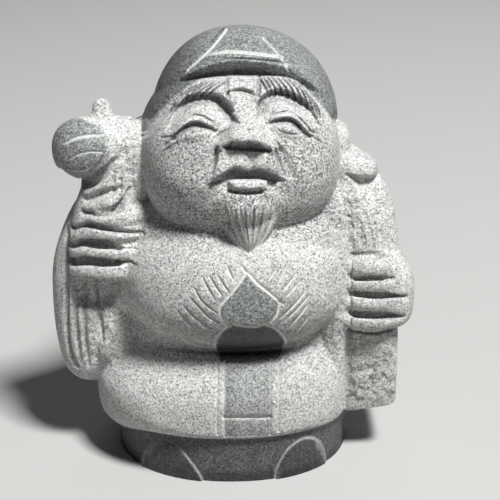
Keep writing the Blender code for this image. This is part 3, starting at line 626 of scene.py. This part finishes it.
def mouth(view):
    """The muzzle and its sides, the lips, the open mouth and the tongue."""
    view.shelf(MUZZLE, 2.2, 1.1)
    # Painted shade along the muzzle's sides.
    view.cut(MUZZLE_SIDES[0], 0.9, 1.1, ends=(0.8, 0.4), dark=0.35)
    view.cut(MUZZLE_SIDES[1], 1, 1.5, ends=(0.9, 0.8), dark=0.4)
    view.oval((0.8, -16.5), (12.5, 7.4), 2.7)
    view.cut(UPPER_LIP, 0.65, 3, right=4.2, ends=0.3, flare=1.1)
    # Painted shade under the upper lip.
    view.cut(UPPER_LIP, 0.3, 0, right=2.5, ends=0.8, dark=0.45)
    view.shelf(MOUTH, -0.8, 1.2)
    view.shelf(TONGUE, 2.5, 0.9)
    view.cut(UNDER_TONGUE, 0.8, 1.3)
    view.cut((0.9, 0.2, 1.4, -2.6, 1, -5.4), 1.8, 0.6)


def face_forms(view):
    """Cheeks, brows, hollows, lids, nose and mouth."""
    for middle in CHEEKS:
        view.oval(middle, (14.5, 14.0), 2.0)
    for brow, hollow, slit, lid, ends in zip(BROWS, HOLLOWS, SLITS, LIDS, ((0.1, 1), (1, 0.1))):
        view.ridge(brow, 3.4, 1.5, ends=ends)
        view.cut(hollow, 1.2, 3.9, right=5.4, ends=(max(0.3, ends[0]), max(0.45, ends[1])), flare=1.3)
        # Painted shade in the hollow under the brow.
        view.cut(hollow, 0.8, 0, right=3, ends=ends, dark=0.36)
        view.cut(lid, 0.6, 1.3, right=0.7, ends=0.5)
        view.cut(slit, 0.7, 3, right=2.8, ends=0.5, flare=1.3)
        # Painted shade in the eye's slit.
        view.cut(slit, 0.4, 0, right=1.7, ends=0.6, dark=0.55)
    for middle, turn in EYEBALLS:
        view.oval(middle, (8.6, 5.4), 2.2, turn=turn)
    mouth(view)
    for line in CHEEK_LINES:
        view.cut(line, 2.6, 1.4, ends=(1, 0.2))
    view.cut(FROWN, 1, 2.3, right=1.6, flare=1.4)
    view.ridge((-2.6, 16.4, 1.0, 15.8, 4.6, 16.4), 1.2, 0.5)
    # Painted shade in the frown's side cuts.
    for line in FROWN_SIDES:
        view.cut(line, 0.9, 1.6, ends=(0.6, 0.9), dark=0.4)
    nose(view)
    view.cut(UNDER_BRIM, 3, 2.2, right=3.4, ends=0, flare=1.5)
    view.rise *= view.up < 28.5


def from_head(local):
    """How far points in the head's own frame are from its middle, where 1 is the skin of its bulk."""
    return (np.abs(local / np.array(HEAD_BULK)) ** HEAD_SQUARE).sum(1)


def face_lines(view):
    """The fine cuts: lids, crow's feet and brow hairs, with the pecked cheeks, painted shade in the cuts and
    painted shade under the jaw.
    """
    for line in LOWER_LIDS:
        view.cut(line, 0.6, 0.6, ends=0.3)
    # Painted shade in the crow's feet.
    for line in CROWS_FEET:
        view.cut(line, 0.55, 0.7, ends=(1, 0.3), dark=0.3)
    # Painted shade in the brow hairs' grooves.
    for keys in BROW_HAIRS:
        for hair in smooth_rows(keys, 2):
            view.cut(hair, 0.42, 1, ends=(0.7, 0.9), flare=1.2, dark=0.75)
    # The pecked ovals, the jaw's among them, get painted shade in their pits in the stone's colour.
    pecked = np.zeros(len(view.chosen))
    for across, up, wide, high in PECKED:
        pecked = np.maximum(pecked, np.sqrt(view.patch((across, up), (wide, high))))
    view.mark("pecks", pecked)
    # Painted shade on the jaw's underside beside the chin.
    beside_chin = unit((np.abs(view.across - CHIN_MIDDLE) - 8.0) / 8.0)
    jaw = unit((JAW_TOP - view.up) / 9.0) * beside_chin
    on_head = from_head(np.stack([view.across, view.out, view.up], 1)) < 1.1
    view.mark("dark_stone_and_painted_shade", 0.22 * (jaw * on_head))


# Where the cap meets the face on each side
BRIM = (
    (-31.4, 8.6, -29.3, 11.9, -26.4, 14.4, -23.1, 17.2, -19, 21.2),
    (19.6, 22, 23.2, 19.4, 26, 16.5, 29.6, 12.6, 32.4, 9))


def cap_folds(view):
    for line, ends in zip(BRIM, ((0.7, 0.2), (0.2, 0.7))):
        view.cut(line, 1.3, 1.9, right=3.6, ends=ends)
    view.cut((-2.3, 40.3, -7.2, 34.6, -11.2, 31, -16.1, 27.1), 0.6, 0.7, bruise=0.85)
    # Painted shade beside the pale fold line.
    view.cut((-3.4, 41, -6.6, 37.4, -9.3, 34.5), 0.5, 0.7, dark=0.7)
    view.cut((9, 36.4, 12.1, 32, 14.1, 28.7, 16.1, 25.1), 0.6, 0.7, bruise=0.8)
    view.cut(
        (-10.1, 31.6, -6.6, 32, -2, 32.1, 2.6, 31.5, 9, 30.5, 14.2, 29.6), 0.8, 0.6, ends=(0.7, 1),
        bruise=0.95)
    # Painted shade under the cap's band.
    view.cut((-7, 30.3, 2.4, 29.6, 8.9, 28.8, 14.6, 28), 0.5, 0.8, ends=(0.2, 1), dark=0.6)


def beard_locks(view):
    for k, share in enumerate(np.linspace(-0.92, 0.92, 12)):
        lock = [(0.9 + 9.2 * share, -14.6 - 1.2 * (k % 3)), (0.9 + 7.6 * share, -22),
                (0.7 + 4.6 * share, -28), (0.3 + 1.2 * share, -32.6)]
        # Every other lock is bruised pale; the rest get painted shade in their grooves.
        view.cut(lock, 0.6, 0.7 if k % 2 else 1.0, ends=(0, 0.6), flare=1.4, bruise=0.95 * (k % 2),
                 dark=0.28 * (1 - k % 2))


JEWEL = (
    4.2, 80.8, 5, 78.9, 3.4, 76.5, 1.2, 73.6, -1.4, 70.6, -3, 68.2, -2.9, 65.3, -1.4, 63.2, 1.2, 61.9, 4.1,
    60.9, 8.2, 60.4, 10.8, 61.4, 13.4, 62.7, 15.2, 64.7, 15.8, 67.5, 16.1, 69.3)
JEWEL_EDGE = (3.6, 81, 6.7, 78.2, 8.9, 75.7, 11.9, 73.3, 14.5, 70.8, 17.3, 68)
DISC_LEFT = (0.1, 62.1, -2.2, 59.5, -4.1, 56.3, -5.2, 52.5, -4.9, 47.1, -2.9, 44)
DISC_RIGHT = (11.6, 61.1, 15, 58.8, 17.3, 55, 18.4, 51.7, 17.7, 45.9, 14.8, 42.8)
DISC = (
    4.1, 60.5, 0.9, 61, -2, 58.9, -3.6, 55.4, -4.7, 50.4, -4.9, 46.6, -3.4, 44, 6.5, 43, 16.4, 43.4, 18.4,
    46, 18.2, 50.6, 17, 55.2, 15, 58.8, 11.8, 60.8, 8.2, 60)
RAYS = (
    (-1.2, 81.6, -0.1, 79.5, 1.2, 76.8), (-4.3, 78.8, -2.2, 75.8, -0.2, 72.9),
    (-6.6, 78.1, -4.6, 75, -2.4, 71.9), (-8.7, 77.6, -7, 74.2, -4.8, 70.7),
    (-11.3, 73.9, -9.8, 71, -7.6, 68.4, -4.3, 66.1), (-12.4, 70.4, -10.2, 67.8, -6.9, 64.3, -3.5, 61.8),
    (-14.9, 67.8, -12.9, 65.1, -7.8, 60.7, -4.4, 59), (-16.8, 65.8, -15.6, 63.5, -10.4, 58.5, -6.4, 56.5),
    (-17.7, 61.3, -15.4, 57.7, -12.1, 54.6, -8, 52.5, -5.4, 51.6),
    (-18.8, 58, -16, 53.2, -12.1, 48.9, -7.5, 47.6), (15.2, 80, 13.9, 78.1, 12.6, 76.5),
    (18.5, 80.3, 17.2, 78.2, 15.9, 75.9), (21.5, 77.6, 19.4, 75.1, 17.2, 72.7),
    (22.4, 75, 20.4, 72.8, 18.3, 70.8), (25.3, 72.6, 23, 69.6, 19.7, 66.2, 16.2, 63.1),
    (25.7, 69.8, 23.1, 66.8, 20.1, 64, 17.7, 61.9), (25.4, 66.6, 22, 62.2, 19.1, 58.8),
    (26.2, 62.5, 23.7, 58.9, 21.5, 54.9), (28.9, 58.6, 26.9, 55.7, 25, 52),
    (31, 52.5, 28.6, 49.2, 25.8, 47))


def belly_carving(view):
    """The jewel on the belly, the dark disc under it, and the rays round them."""
    view.shelf(JEWEL[2:], 0.25, 1.0, "smoothed", 0.86)
    view.shelf(DISC, -0.2, 1.0, "dark_stone_and_painted_shade", 1.0)
    for line in RAYS:
        view.cut(line, 0.65, 0.9, ends=0.5, bruise=1)
    view.cut(JEWEL, 0.72, 0.6, bruise=1)
    view.cut(JEWEL_EDGE, 0.85, 0.6, ends=(0.4, 0.6), bruise=1)
    view.cut(DISC_LEFT, 0.6, 0.5, ends=(1, 0.1), bruise=0.7)
    view.cut(DISC_RIGHT, 0.7, 0.5, ends=(1, 0.1), bruise=0.9)
    view.mark("smoothed", 0.74 * np.sqrt(view.patch((6, 56), (30, 19))))


PANEL = (-2.1, 44.5, 13.5, 44.5, 13.5, 18.4, -2.1, 18.4)


def robe_carving(view):
    view.shelf(PANEL, -0.2, 0.7, "smoothed", 0.68)
    for across, low in ((-4.5, 19.6), (-2.1, 18.6), (13.5, 18.6), (16.2, 19.6)):
        view.cut([(across, 44), (across, 32), (across, low)], 0.6, 0.6, bruise=0.35)
    view.cut((-2.1, 26.1, 5.6, 25.9, 13.5, 25.4), 1.15, 0.9, bruise=0.9)


TOES = (
    (-31.8, -1, -31, 4, -28.6, 9, -23.4, 13.2, -18.4, 12, -14.2, 7.6, -10.6, 2, -9.6, -1),
    (15, -1, 16, 4.6, 19.6, 10.8, 25.4, 13.4, 30.2, 10.4, 32.6, 4.8, 33.2, -1))


def toes(view):
    for outline in TOES:
        view.shelf(smooth_rows(np.reshape(outline, (-1, 2)), 4), 0.8, 1.2, "dark_stone_and_painted_shade", 0.95)
        view.cut(outline, 0.5, 0.25, bruise=0.28)
    view.rise *= view.up < 17


# Lines on the right hand and its sleeve, seen from in front
FINGER_GAPS = (
    ((-52.5, 87.2, -46.7, 89.6, -41.7, 89.1, -36.3, 87.8, -29, 86.2), 1.2, 1.8),
    ((-53.2, 81.2, -49.4, 82.9, -44.3, 83.3, -39.5, 83, -36.7, 82), 1.8, 3.6),
    ((-54, 75, -48.4, 76.9, -42.1, 77, -37, 76.6), 1.8, 3.6),
    ((-53.4, 69.2, -48.4, 70.2, -42.6, 69.4, -38.6, 68.4), 1.3, 2.6))
KNUCKLE_LINES = ((-37, 82, -30.9, 81.2), (-37, 76.6, -30.4, 77.2), (-37, 94.8, -30.7, 94))
THUMB_LINES = (
    ((-48.2, 97.2, -41.7, 100.1, -35.7, 101.6), 1.2, 1.3),
    ((-48.6, 93.4, -42.2, 93.9, -38.2, 94.6, -35, 96.8, -32.8, 100.6), 1.3, 1.9))
SLEEVE_MOUTH = (
    -53.6, 68, -50.2, 69, -45.1, 68.6, -39.9, 69, -38, 68.4, -38.4, 64, -41, 59, -46, 57, -52.6, 58)
SLEEVE_RIM = (-54.8, 84.4, -55.2, 74.9, -55.8, 62.7, -56.5, 50.8, -56.2, 40.6, -54.2, 34)
SLEEVE_FOLDS = (
    (-53.1, 65, -53.2, 48, -52.4, 35.5), (-50, 65.5, -50.4, 48, -49.8, 34.5),
    (-45.6, 66, -45, 56, -44.4, 44.5))
MALLET_ARCS = (
    (-53.7, 116, -49.3, 118.3, -45.1, 119.1, -40.6, 119.1),
    (-51.8, 111.4, -48.1, 113.7, -43.9, 114.4, -40.2, 113.8))
MALLET_END = (
    -60, 124, -49, 123.4, -44.5, 122.5, -41.3, 121.1, -39.8, 118.7, -39.8, 115.5, -41.3, 112.4, -43.5,
    110.4, -46.3, 108.4, -49.5, 107.4, -52.6, 107.4, -60, 107)
MALLET_FOOT = (
    -60, 107.2, -50.1, 107.1, -47, 107.5, -44.4, 109.2, -42.2, 111.7, -40.7, 114.3, -39, 112, -39.5, 108.5,
    -42, 105.5, -46, 103, -50, 101.5, -60, 100)
MALLET_RIM = (-42.6, 111, -44.6, 109.2, -47, 107.8, -51, 107.3)
UNDER_MALLET = (-52.5, 100.6, -48.5, 101.8, -44, 104, -40.2, 107.3, -37.2, 110.7)

# Lines on the left hand and the sack's knob above it
LEFT_GAPS = (
    ((41.4, 70.2, 47.5, 71, 54.6, 70.4), 1.1, 2.6), ((41.6, 64.7, 48.3, 64.7, 59.4, 63.2), 1.3, 2.9),
    ((41.6, 57.2, 48.6, 57.4, 58.6, 55.8), 1.5, 3.2), ((40.8, 49.8, 48.2, 49, 56.6, 50), 1.3, 2.2),
    ((40.8, 77.6, 47.5, 78.2, 52.6, 77.2), 0.9, 1.2))
LEFT_WALL = (40.2, 77.4, 40.3, 64, 40.4, 50.6)
KNOB_NOTCH = (38.4, 103.8, 42.5, 103.2, 46.1, 102.8, 49.6, 101.8, 48.2, 96.8, 46.6, 96.8, 42, 100.4)


def hands_and_sleeve(view):
    # Painted shade in the finger gaps.
    for line, reach, depth in FINGER_GAPS:
        view.cut(line, reach + 0.1, depth + 0.4, ends=(0.6, 0.5), flare=1.4, dark=0.4)
    for line in KNUCKLE_LINES:
        view.cut(line, 0.6, 0.9, ends=(1, 0.3))
    # Painted shade in the thumb's creases.
    for line, reach, depth in THUMB_LINES:
        view.cut(line, reach + 0.3, depth + 1, ends=(0.7, 0.4), flare=1.5, dark=0.2)
    view.shelf(SLEEVE_MOUTH, -3.8, 3.6)
    view.cut(SLEEVE_RIM, 1.1, 1.8, flare=1.5)
    for line in SLEEVE_FOLDS:
        view.cut(line, 1.4, 1.5, ends=(1, 0.3))
    view.shelf(MALLET_END, 0.8, 0.7, "smoothed", 0.82)
    # Painted shade on the mallet's underside.
    view.shelf(MALLET_FOOT, -0.1, 0.9, "dark_stone_and_painted_shade", 0.5)
    view.cut(MALLET_RIM, 0.5, 0.2, ends=(0.2, 0.8), bruise=0.6)
    view.cut(UNDER_MALLET, 2.1, 2.6, ends=(0.6, 0.3), flare=1.4)
    for line in MALLET_ARCS:
        view.cut(line, 0.6, 0.5, ends=(0.5, 0.6), bruise=0.9)
    # Painted shade in the left hand's finger gaps.
    for line, reach, depth in LEFT_GAPS:
        view.cut(line, reach, depth, ends=(0.8, 0.4), flare=1.5, dark=0.35)
    view.cut(LEFT_WALL, 0.7, 0.7)
    view.shelf(KNOB_NOTCH, -2.3, 2.0)
    chisel = np.random.default_rng(11)
    for across in np.linspace(-38.5, -29.5, 9):
        top = 112 + chisel.uniform(-4, 2)
        view.cut([(across, top), (across + chisel.uniform(-0.6, 0.6), top - 7), (across, top - 14)],
                 0.75, 0.5, ends=0.2)
    for across in np.linspace(37, 53, 13):
        top = 97.5 - 0.5 * (across - 38) + chisel.uniform(-5, 1)
        view.cut([(across, top), (across + 0.8, top - 5), (across + 1.2, top - chisel.uniform(8, 13))],
                 0.8, 0.3, ends=0.2)


# Each carving with its frame, how far out of it the points lie, how squarely they face out of it, and
# whether they move straight out of it
CARVINGS = (
    (face_forms, HEAD, 8, 0.05, True), (face_lines, HEAD, 8, 0.05, False),
    (cap_folds, HEAD, 0, 0.05, False), (beard_locks, HEAD, 20, 0.05, False),
    (belly_carving, FRONT, 20, -0.3, False), (robe_carving, FRONT, 20, 0.05, False),
    (toes, FRONT, 12, 0.05, False), (hands_and_sleeve, FRONT, 2, 0.05, False))


def carve(skin, cutting):
    """Makes the marks of every carving, and while cutting moves the points as well."""
    for carving, place, nearest, least, straight in CARVINGS:
        view = Side(skin, place, nearest, least)
        carving(view)
        if cutting:
            view.done(straight)


def cell_value(cells, number):
    """A random value from 0 to 1 for each cell of a lattice, one of several sets by number."""
    mixed_up = cells @ np.array((127.1, 311.7, 74.7)) + 53.3 * number
    return np.sin(mixed_up) * 43758.5453 % 1


def broken_faces(points, size):
    """Height of each point on stone that has broken into tilted faces of one size, from -1 to 1."""
    home = np.floor(points / size)
    least = np.full(len(points), 1e9)
    height = np.zeros(len(points))
    for offset in np.ndindex(3, 3, 3):
        cells = home + offset - 1
        middles = size * (cells + np.stack([cell_value(cells, k) for k in range(3)], 1))
        reach = points - middles
        away = (reach ** 2).sum(1)
        tilt = np.stack([cell_value(cells, k) for k in range(4, 7)], 1) - 0.5
        face = (cell_value(cells, 3) - 0.5) + 1.6 * (reach * tilt).sum(1) / size
        nearer = away < least
        least = np.where(nearer, away, least)
        height = np.where(nearer, face, height)
    return np.clip(height, -1, 1)


def between(value, low, high, soft):
    """Share by which a value lies between two limits, over soft edges."""
    return unit((value - low) / soft) * unit((high - value) / soft)


def roughen(skin):
    """Leaves the hidden and hollow places as the point chisel broke them."""
    x, y, z = skin.points.T
    front = unit((2 - y) / 6)
    end = between(x, 39.8, 58.2, 1.5) * between(z, 20.5, 53.5, 2)
    neck = between(x, 36.5, 58, 2) * between(z, 78.5, 100, 3) * front
    block = between(x, -41, -27, 3) * between(z, 99, 125, 4) * front
    side = between(x, 28.5, 39.5, 2) * between(z, 26, 110, 4) * front
    sleeve = between(x, -53.5, -39, 1.5) * between(z, 34, 70, 3) * front
    back = unit((y - 6) / 10) * between(z, 18, 106, 5)
    normals = skin.normals()
    beside = unit((from_head(placed(skin.points, HEAD.inverted())) - 1.0) / 0.12)
    for where, cuts in ((end, ((5.0, 0.6), (1.9, 0.34))), (neck, ((2.6, 0.4), (1.3, 0.2))),
                        (block, ((3.0, 0.4), (1.4, 0.2))), (side, ((1.6, 0.2),)), (sleeve, ((1.8, 0.25),)),
                        (back, ((7.0, 0.35), (2.6, 0.15)))):
        chosen = np.nonzero(where > 0)[0]
        rise = sum(depth * broken_faces(skin.points[chosen], size) for size, depth in cuts)
        skin.points[chosen] += normals[chosen] * ((where * beside)[chosen] * rise)[:, None]
    skin.settle()


def rubbed_parts(skin):
    """Marks the rubbed cap and base, with painted shade on the base and on the cap's left side, and the
    broken stone of the sack's hanging end.
    """
    x, y, z = skin.points.T
    local = placed(skin.points, HEAD.inverted())
    across, out, up = local[:, 0], -local[:, 1], local[:, 2]
    edge = np.interp(across, *np.reshape(FOREHEAD, (-1, 2)).T)
    front_cap = unit((up - edge) / 0.9 + 0.5) * (out > 3)
    dx, dy, dz = ((skin.points - CAP_CENTRE) / CAP_RADII).T
    behind = np.degrees(np.abs((np.arctan2(dy, dx) + 2.5 * math.pi) % (2 * math.pi) - math.pi))
    rim = np.interp(180 - behind, RIM_TURN, RIM_RISE)
    rise = np.degrees(np.arctan2(dz, np.hypot(dx, dy)))
    side_cap = unit((rise - rim) / 1.5 + 0.5) * (out <= 3) * (z > 96)
    cap_zone = np.maximum(front_cap, side_cap) * (np.abs(x - CAP_CENTRE[0]) < 36) * (z > 96)
    around = np.hypot(x / BASE_HALF_WIDTH, y / BASE_HALF_DEPTH)
    foot = unit(17.5 - z) * between(around, 0.86, np.where(y < -10, 1.06, 1.035), 0.01)
    for zone, value in ((cap_zone, 0.88), (foot, 0.85)):
        skin.mark("smoothed", value * zone)
        skin.mark("fine", (zone > 0) & (zone < 1))
    # The base's darker polished stone, with painted shade from the hem's overhang on top.
    skin.mark("dark_stone_and_painted_shade", 0.8 * foot)
    # Painted shade darkening the cap's left side.
    skin.mark("dark_stone_and_painted_shade", 0.5 * cap_zone * unit((-6 - x) / 12))
    end = between(x, 39.8, 60, 1.5) * between(z, 18, 53.5, 2) * (y < 4)
    skin.mark("pecks", 0.7 * end)
    skin.mark("bruised", 0.35 * end)


# Stone

class Nodes:
    """The nodes of a material. Each call makes one, and gives back its output."""

    def __init__(self, material):
        material.use_nodes = True
        self.tree = material.node_tree
        self.shader = self.tree.nodes["Principled BSDF"]

    def feed(self, socket, value):
        """Puts a value or another node's output into a socket."""
        if isinstance(value, bpy.types.NodeSocket):
            self.tree.links.new(value, socket)
        else:
            socket.default_value = value

    def add(self, kind, output, inputs, **settings):
        node = self.tree.nodes.new("ShaderNode" + kind)
        for name, value in settings.items():
            setattr(node, name, value)
        for name, value in inputs.items():
            self.feed(node.inputs[name], value)
        return node.outputs[output]

    def math(self, operation, first, second):
        return self.add("Math", 0, {0: first, 1: second}, operation=operation)

    def times(self, first, second):
        return self.math("MULTIPLY", first, second)

    def plus(self, first, second):
        return self.math("ADD", first, second)

    def mixed(self, share, first, second, blend="MIX"):
        return self.add("Mix", 2, {0: share, 6: first, 7: second}, data_type="RGBA", blend_type=blend)

    def noise(self, where, scale, detail, roughness=0.55, output="Fac"):
        return self.add("TexNoise", output, {
            "Scale": scale, "Detail": detail, "Roughness": roughness, "Vector": where})

    def crystals(self, where, width):
        """A random value for each crystal of one width."""
        colour = self.add("TexVoronoi", "Color", {"Scale": 1 / width, "Vector": where})
        return self.add("SeparateColor", 0, {0: colour})

    def ramp(self, value, stops):
        node = self.tree.nodes.new("ShaderNodeValToRGB")
        while len(node.color_ramp.elements) < len(stops):
            node.color_ramp.elements.new(0.5)
        for element, (position, colour) in zip(node.color_ramp.elements, stops):
            element.position = position
            element.color = (*colour, 1)
        self.feed(node.inputs[0], value)
        return node.outputs[0]

    def greys(self, value, *stops):
        return self.ramp(value, [(position, (grey,) * 3) for position, grey in stops])

    def shades(self, value, colour, factors):
        """The colour in four depths, by a crystal's random value."""
        depths = [tuple(min(1.0, channel * factor) for channel in colour) for factor in factors]
        return self.ramp(value, list(zip((0.2, 0.36, 0.55, 0.8), depths)))


def granite(settings):
    """Speckled granite: pecked pale, rubbed dark, and bruised white in the chisel lines, with painted shade
    in grooves, hollows, undersides and the pecks' pits.
    """
    stone = bpy.data.materials.new("Granite")
    nodes = Nodes(stone)
    smoothed, bruised, dark_stone_and_painted_shade, pecks = (nodes.add("Attribute", "Fac", {}, attribute_name=name) for name in MARKS)
    crystal = settings.crystal
    where = nodes.add("TexCoord", "Object", {})
    wobble = nodes.noise(where, 0.9 / crystal, 2, output="Color")
    shift = (crystal * 0.7,) * 3
    spot = nodes.add("VectorMath", 0, {0: wobble, 1: shift, 2: where}, operation="MULTIPLY_ADD")
    big, small = nodes.crystals(spot, crystal), nodes.crystals(spot, crystal * 0.5)
    both = nodes.plus(nodes.times(big, 0.45), nodes.times(small, 0.55))
    pecked = nodes.shades(both, settings.pecked, (0.34, 0.84, 1.08, 1.36))
    smooth = nodes.shades(both, settings.smoothed, (0.32, 0.76, 1.16, 3.1))
    cloud = nodes.noise(where, 45, 3)
    pecked = nodes.mixed(1.0, pecked, nodes.greys(cloud, (0.3, 0.86), (0.7, 1.08)), "MULTIPLY")
    # Painted shade: where the stone is pecked, a fine noise darkens the colour as if shadows lay in small
    # pits.
    pits = nodes.noise(where, 0.8 / crystal, 2, 0.5)
    pit_shade = nodes.greys(pits, (0.38, 0.30), (0.49, 1.0), (0.62, 1.18))
    pecked = nodes.mixed(nodes.plus(0.28, nodes.times(pecks, 0.72)), pecked,
                         nodes.mixed(1.0, pecked, pit_shade, "MULTIPLY"))
    # The darkest stone colours the dark disc and toes, and is also painted shade in grooves, hollows, under
    # the nose and jaw, on the base, on the mallet's underside and on the cap's left side.
    dark_stone_and_shade_colour = nodes.mixed(1.0, smooth, (0.25, 0.25, 0.26, 1), "MULTIPLY")
    colour = nodes.mixed(dark_stone_and_painted_shade, nodes.mixed(smoothed, pecked, smooth), dark_stone_and_shade_colour)
    crushed = nodes.times(bruised, nodes.greys(small, (0.05, 0.55), (0.5, 1.0)))
    colour = nodes.mixed(crushed, colour, (*settings.bruised, 1))
    nodes.feed(nodes.shader.inputs["Base Color"], colour)
    gloss = nodes.times(nodes.math("MAXIMUM", smoothed, dark_stone_and_painted_shade), nodes.math("SUBTRACT", 1.0, bruised))
    rough = nodes.math("SUBTRACT", 0.88, nodes.times(gloss, 0.40))
    nodes.feed(nodes.shader.inputs["Roughness"], rough)
    grit = nodes.noise(where, 0.85 / crystal, 5, 0.68)
    height = nodes.times(grit, nodes.math("SUBTRACT", 1.0, nodes.times(gloss, 0.9)))
    height = nodes.times(height, nodes.plus(0.9, nodes.times(pecks, 0.6)))
    bump = nodes.add("Bump", 0, {"Strength": 1.0, "Distance": 0.0008, "Height": height})
    nodes.feed(nodes.shader.inputs["Normal"], bump)
    return stone


# Operators

def apply_modifier(obj, kind, **values):
    bpy.context.view_layer.objects.active = obj
    bpy.ops.object.modifier_add(type=kind)
    modifier = obj.modifiers[-1]
    for name, value in values.items():
        setattr(modifier, name, value)
    bpy.ops.object.modifier_apply(modifier=modifier.name)


def only(obj):
    bpy.ops.object.select_all(action="DESELECT")
    obj.select_set(True)
    bpy.context.view_layer.objects.active = obj


class STATUE_OT_figure(bpy.types.Operator):
    """Carves the whole figure out of one block of granite"""
    bl_idname = "statue.figure"
    bl_label = "Carve the figure"

    def execute(self, context):
        form = context.scene.statue_form
        part = form.height / PARTS
        bpy.ops.object.select_all(action="DESELECT")
        block = Block(part)
        for shape in (base, robe, trunk, belly, head, beard, ears, cap, mallet, right_arm, right_sleeve,
                      left_arm, left_side, hanging_end, sack):
            shape(block)
        for obj in block.forms:
            obj.select_set(True)
        bpy.ops.object.join()
        obj = context.object
        obj.name = "figure"
        only(obj)
        apply_modifier(obj, "REMESH", mode="VOXEL", voxel_size=form.grain * part)
        passes = round(SOLID_EASE * (SOLID_GRAIN / form.grain) ** 2)
        apply_modifier(obj, "SMOOTH", factor=0.5, iterations=passes)
        skin = Skin(obj.data, part)
        carve(skin, cutting=True)
        roughen(skin)
        rubbed_parts(skin)
        self.thin(obj, skin, form.faces)
        self.level(obj)
        skin = Skin(obj.data, part)
        self.fit(skin, np.array(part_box("statue")) * PARTS / HEIGHT)
        carve(skin, cutting=False)
        rubbed_parts(skin)
        for name in MARKS:
            layer = obj.data.attributes.new(name, "FLOAT", "POINT")
            layer.data.foreach_set("value", skin.marks[name].astype(np.float32))
        bpy.ops.object.shade_smooth()
        obj.data.materials.clear()
        obj.data.materials.append(granite(context.scene.statue_stone))
        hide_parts("statue")
        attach(obj, "root")
        if len(obj.data.vertices) < 1000:
            raise RuntimeError("the figure came out empty")
        return {"FINISHED"}

    def thin(self, obj, skin, faces):
        """Thins the skin between the fine cuts to the number of faces wanted."""
        group = obj.vertex_groups.new(name="plain")
        plain = np.nonzero(skin.marks["fine"] == 0)[0]
        group.add(plain.tolist(), 1.0, "REPLACE")
        apply_modifier(obj, "DECIMATE", ratio=min(1.0, faces / (2 * len(obj.data.vertices))),
                       vertex_group=group.name, use_collapse_triangulate=True)
        obj.vertex_groups.clear()

    def level(self, obj):
        """Cuts the underside flat at the ground."""
        only(obj)
        bpy.ops.object.mode_set(mode="EDIT")
        bpy.ops.mesh.select_all(action="SELECT")
        bpy.ops.mesh.bisect(plane_co=(0, 0, 0), plane_no=(0, 0, -1), clear_outer=True, use_fill=True)
        bpy.ops.mesh.select_all(action="SELECT")
        bpy.ops.mesh.quads_convert_to_tris()
        bpy.ops.object.mode_set(mode="OBJECT")

    def fit(self, skin, box):
        """Draws the carved skin in where it stands out of the solid's box, and lifts it to the ground."""
        for axis in (0, 1):
            side = skin.points[:, axis]
            side *= min(1.0, box[0][axis] / side.min(), box[1][axis] / side.max()) - 1e-5
        np.maximum(skin.points[:, 2], 0, out=skin.points[:, 2])
        skin.settle()


class STATUE_OT_stage(bpy.types.Operator):
    """Lays the floor and sets the lights and the camera"""
    bl_idname = "statue.stage"
    bl_label = "Set the stage"

    def execute(self, context):
        stage = context.scene.statue_stage
        bpy.ops.object.select_all(action="DESELECT")
        bpy.ops.mesh.primitive_plane_add(size=FLOOR_SIZE, location=(0, 0, 0))
        floor = context.object
        floor.name = "floor"
        paint = bpy.data.materials.new("Floor")
        shader = Nodes(paint).shader
        shader.inputs["Base Color"].default_value = (*stage.floor, 1)
        shader.inputs["Roughness"].default_value = 0.9
        floor.data.materials.append(paint)
        for name, (place, size, share) in LIGHTS.items():
            self.light(name, place, size, stage.key_power * share)
        world = bpy.data.worlds.new("Studio")
        context.scene.world = world
        world.use_nodes = True
        air = world.node_tree.nodes["Background"]
        air.inputs["Color"].default_value = (1, 1, 1, 1)
        air.inputs["Strength"].default_value = AIR_LIGHT
        context.scene.view_settings.view_transform = "Standard"
        self.camera(context)
        return {"FINISHED"}

    def light(self, name, place, size, power):
        bpy.ops.object.light_add(type="AREA", location=place)
        light = bpy.context.object
        light.name = name
        light.data.size = size
        light.data.energy = power
        light.rotation_mode = "QUATERNION"
        light.rotation_quaternion = (Vector(LIGHT_AIM) - Vector(place)).to_track_quat("-Z", "Y")

    def camera(self, context):
        tilt = math.radians(VIEW_TILT)
        place = Vector(VIEW_AIM) + VIEW_AWAY * Vector((0, -math.cos(tilt), math.sin(tilt)))
        bpy.ops.object.camera_add(location=place)
        camera = context.object
        camera.name = "camera"
        camera.data.sensor_width = VIEW_SENSOR
        camera.data.lens = VIEW_LENS
        camera.rotation_mode = "QUATERNION"
        camera.rotation_quaternion = (Vector(VIEW_AIM) - place).to_track_quat("-Z", "Y")
        context.scene.camera = camera


class STATUE_PT_panel(bpy.types.Panel):
    """Sizes, colours and steps of the granite figure"""
    bl_label = "Granite figure"
    bl_idname = "STATUE_PT_panel"
    bl_space_type = "VIEW_3D"
    bl_region_type = "UI"
    bl_category = "Statue"

    def draw(self, context):
        for name in SETTINGS:
            settings = getattr(context.scene, name)
            for field in settings.__annotations__:
                self.layout.prop(settings, field)
        for operator in (STATUE_OT_figure, STATUE_OT_stage):
            self.layout.operator(operator.bl_idname)


SETTINGS = {"statue_form": StatueForm, "statue_stone": StatueStone, "statue_stage": StatueStage}
CLASSES = (*SETTINGS.values(), STATUE_OT_figure, STATUE_OT_stage, STATUE_PT_panel)


def register():
    for made in CLASSES:
        bpy.utils.register_class(made)
    for name, made in SETTINGS.items():
        setattr(bpy.types.Scene, name, bpy.props.PointerProperty(type=made))


def unregister():
    for name in SETTINGS:
        delattr(bpy.types.Scene, name)
    for made in reversed(CLASSES):
        bpy.utils.unregister_class(made)


def main():
    register()
    bpy.ops.statue.figure()
    bpy.ops.statue.stage()


if __name__ == "__main__":
    main()
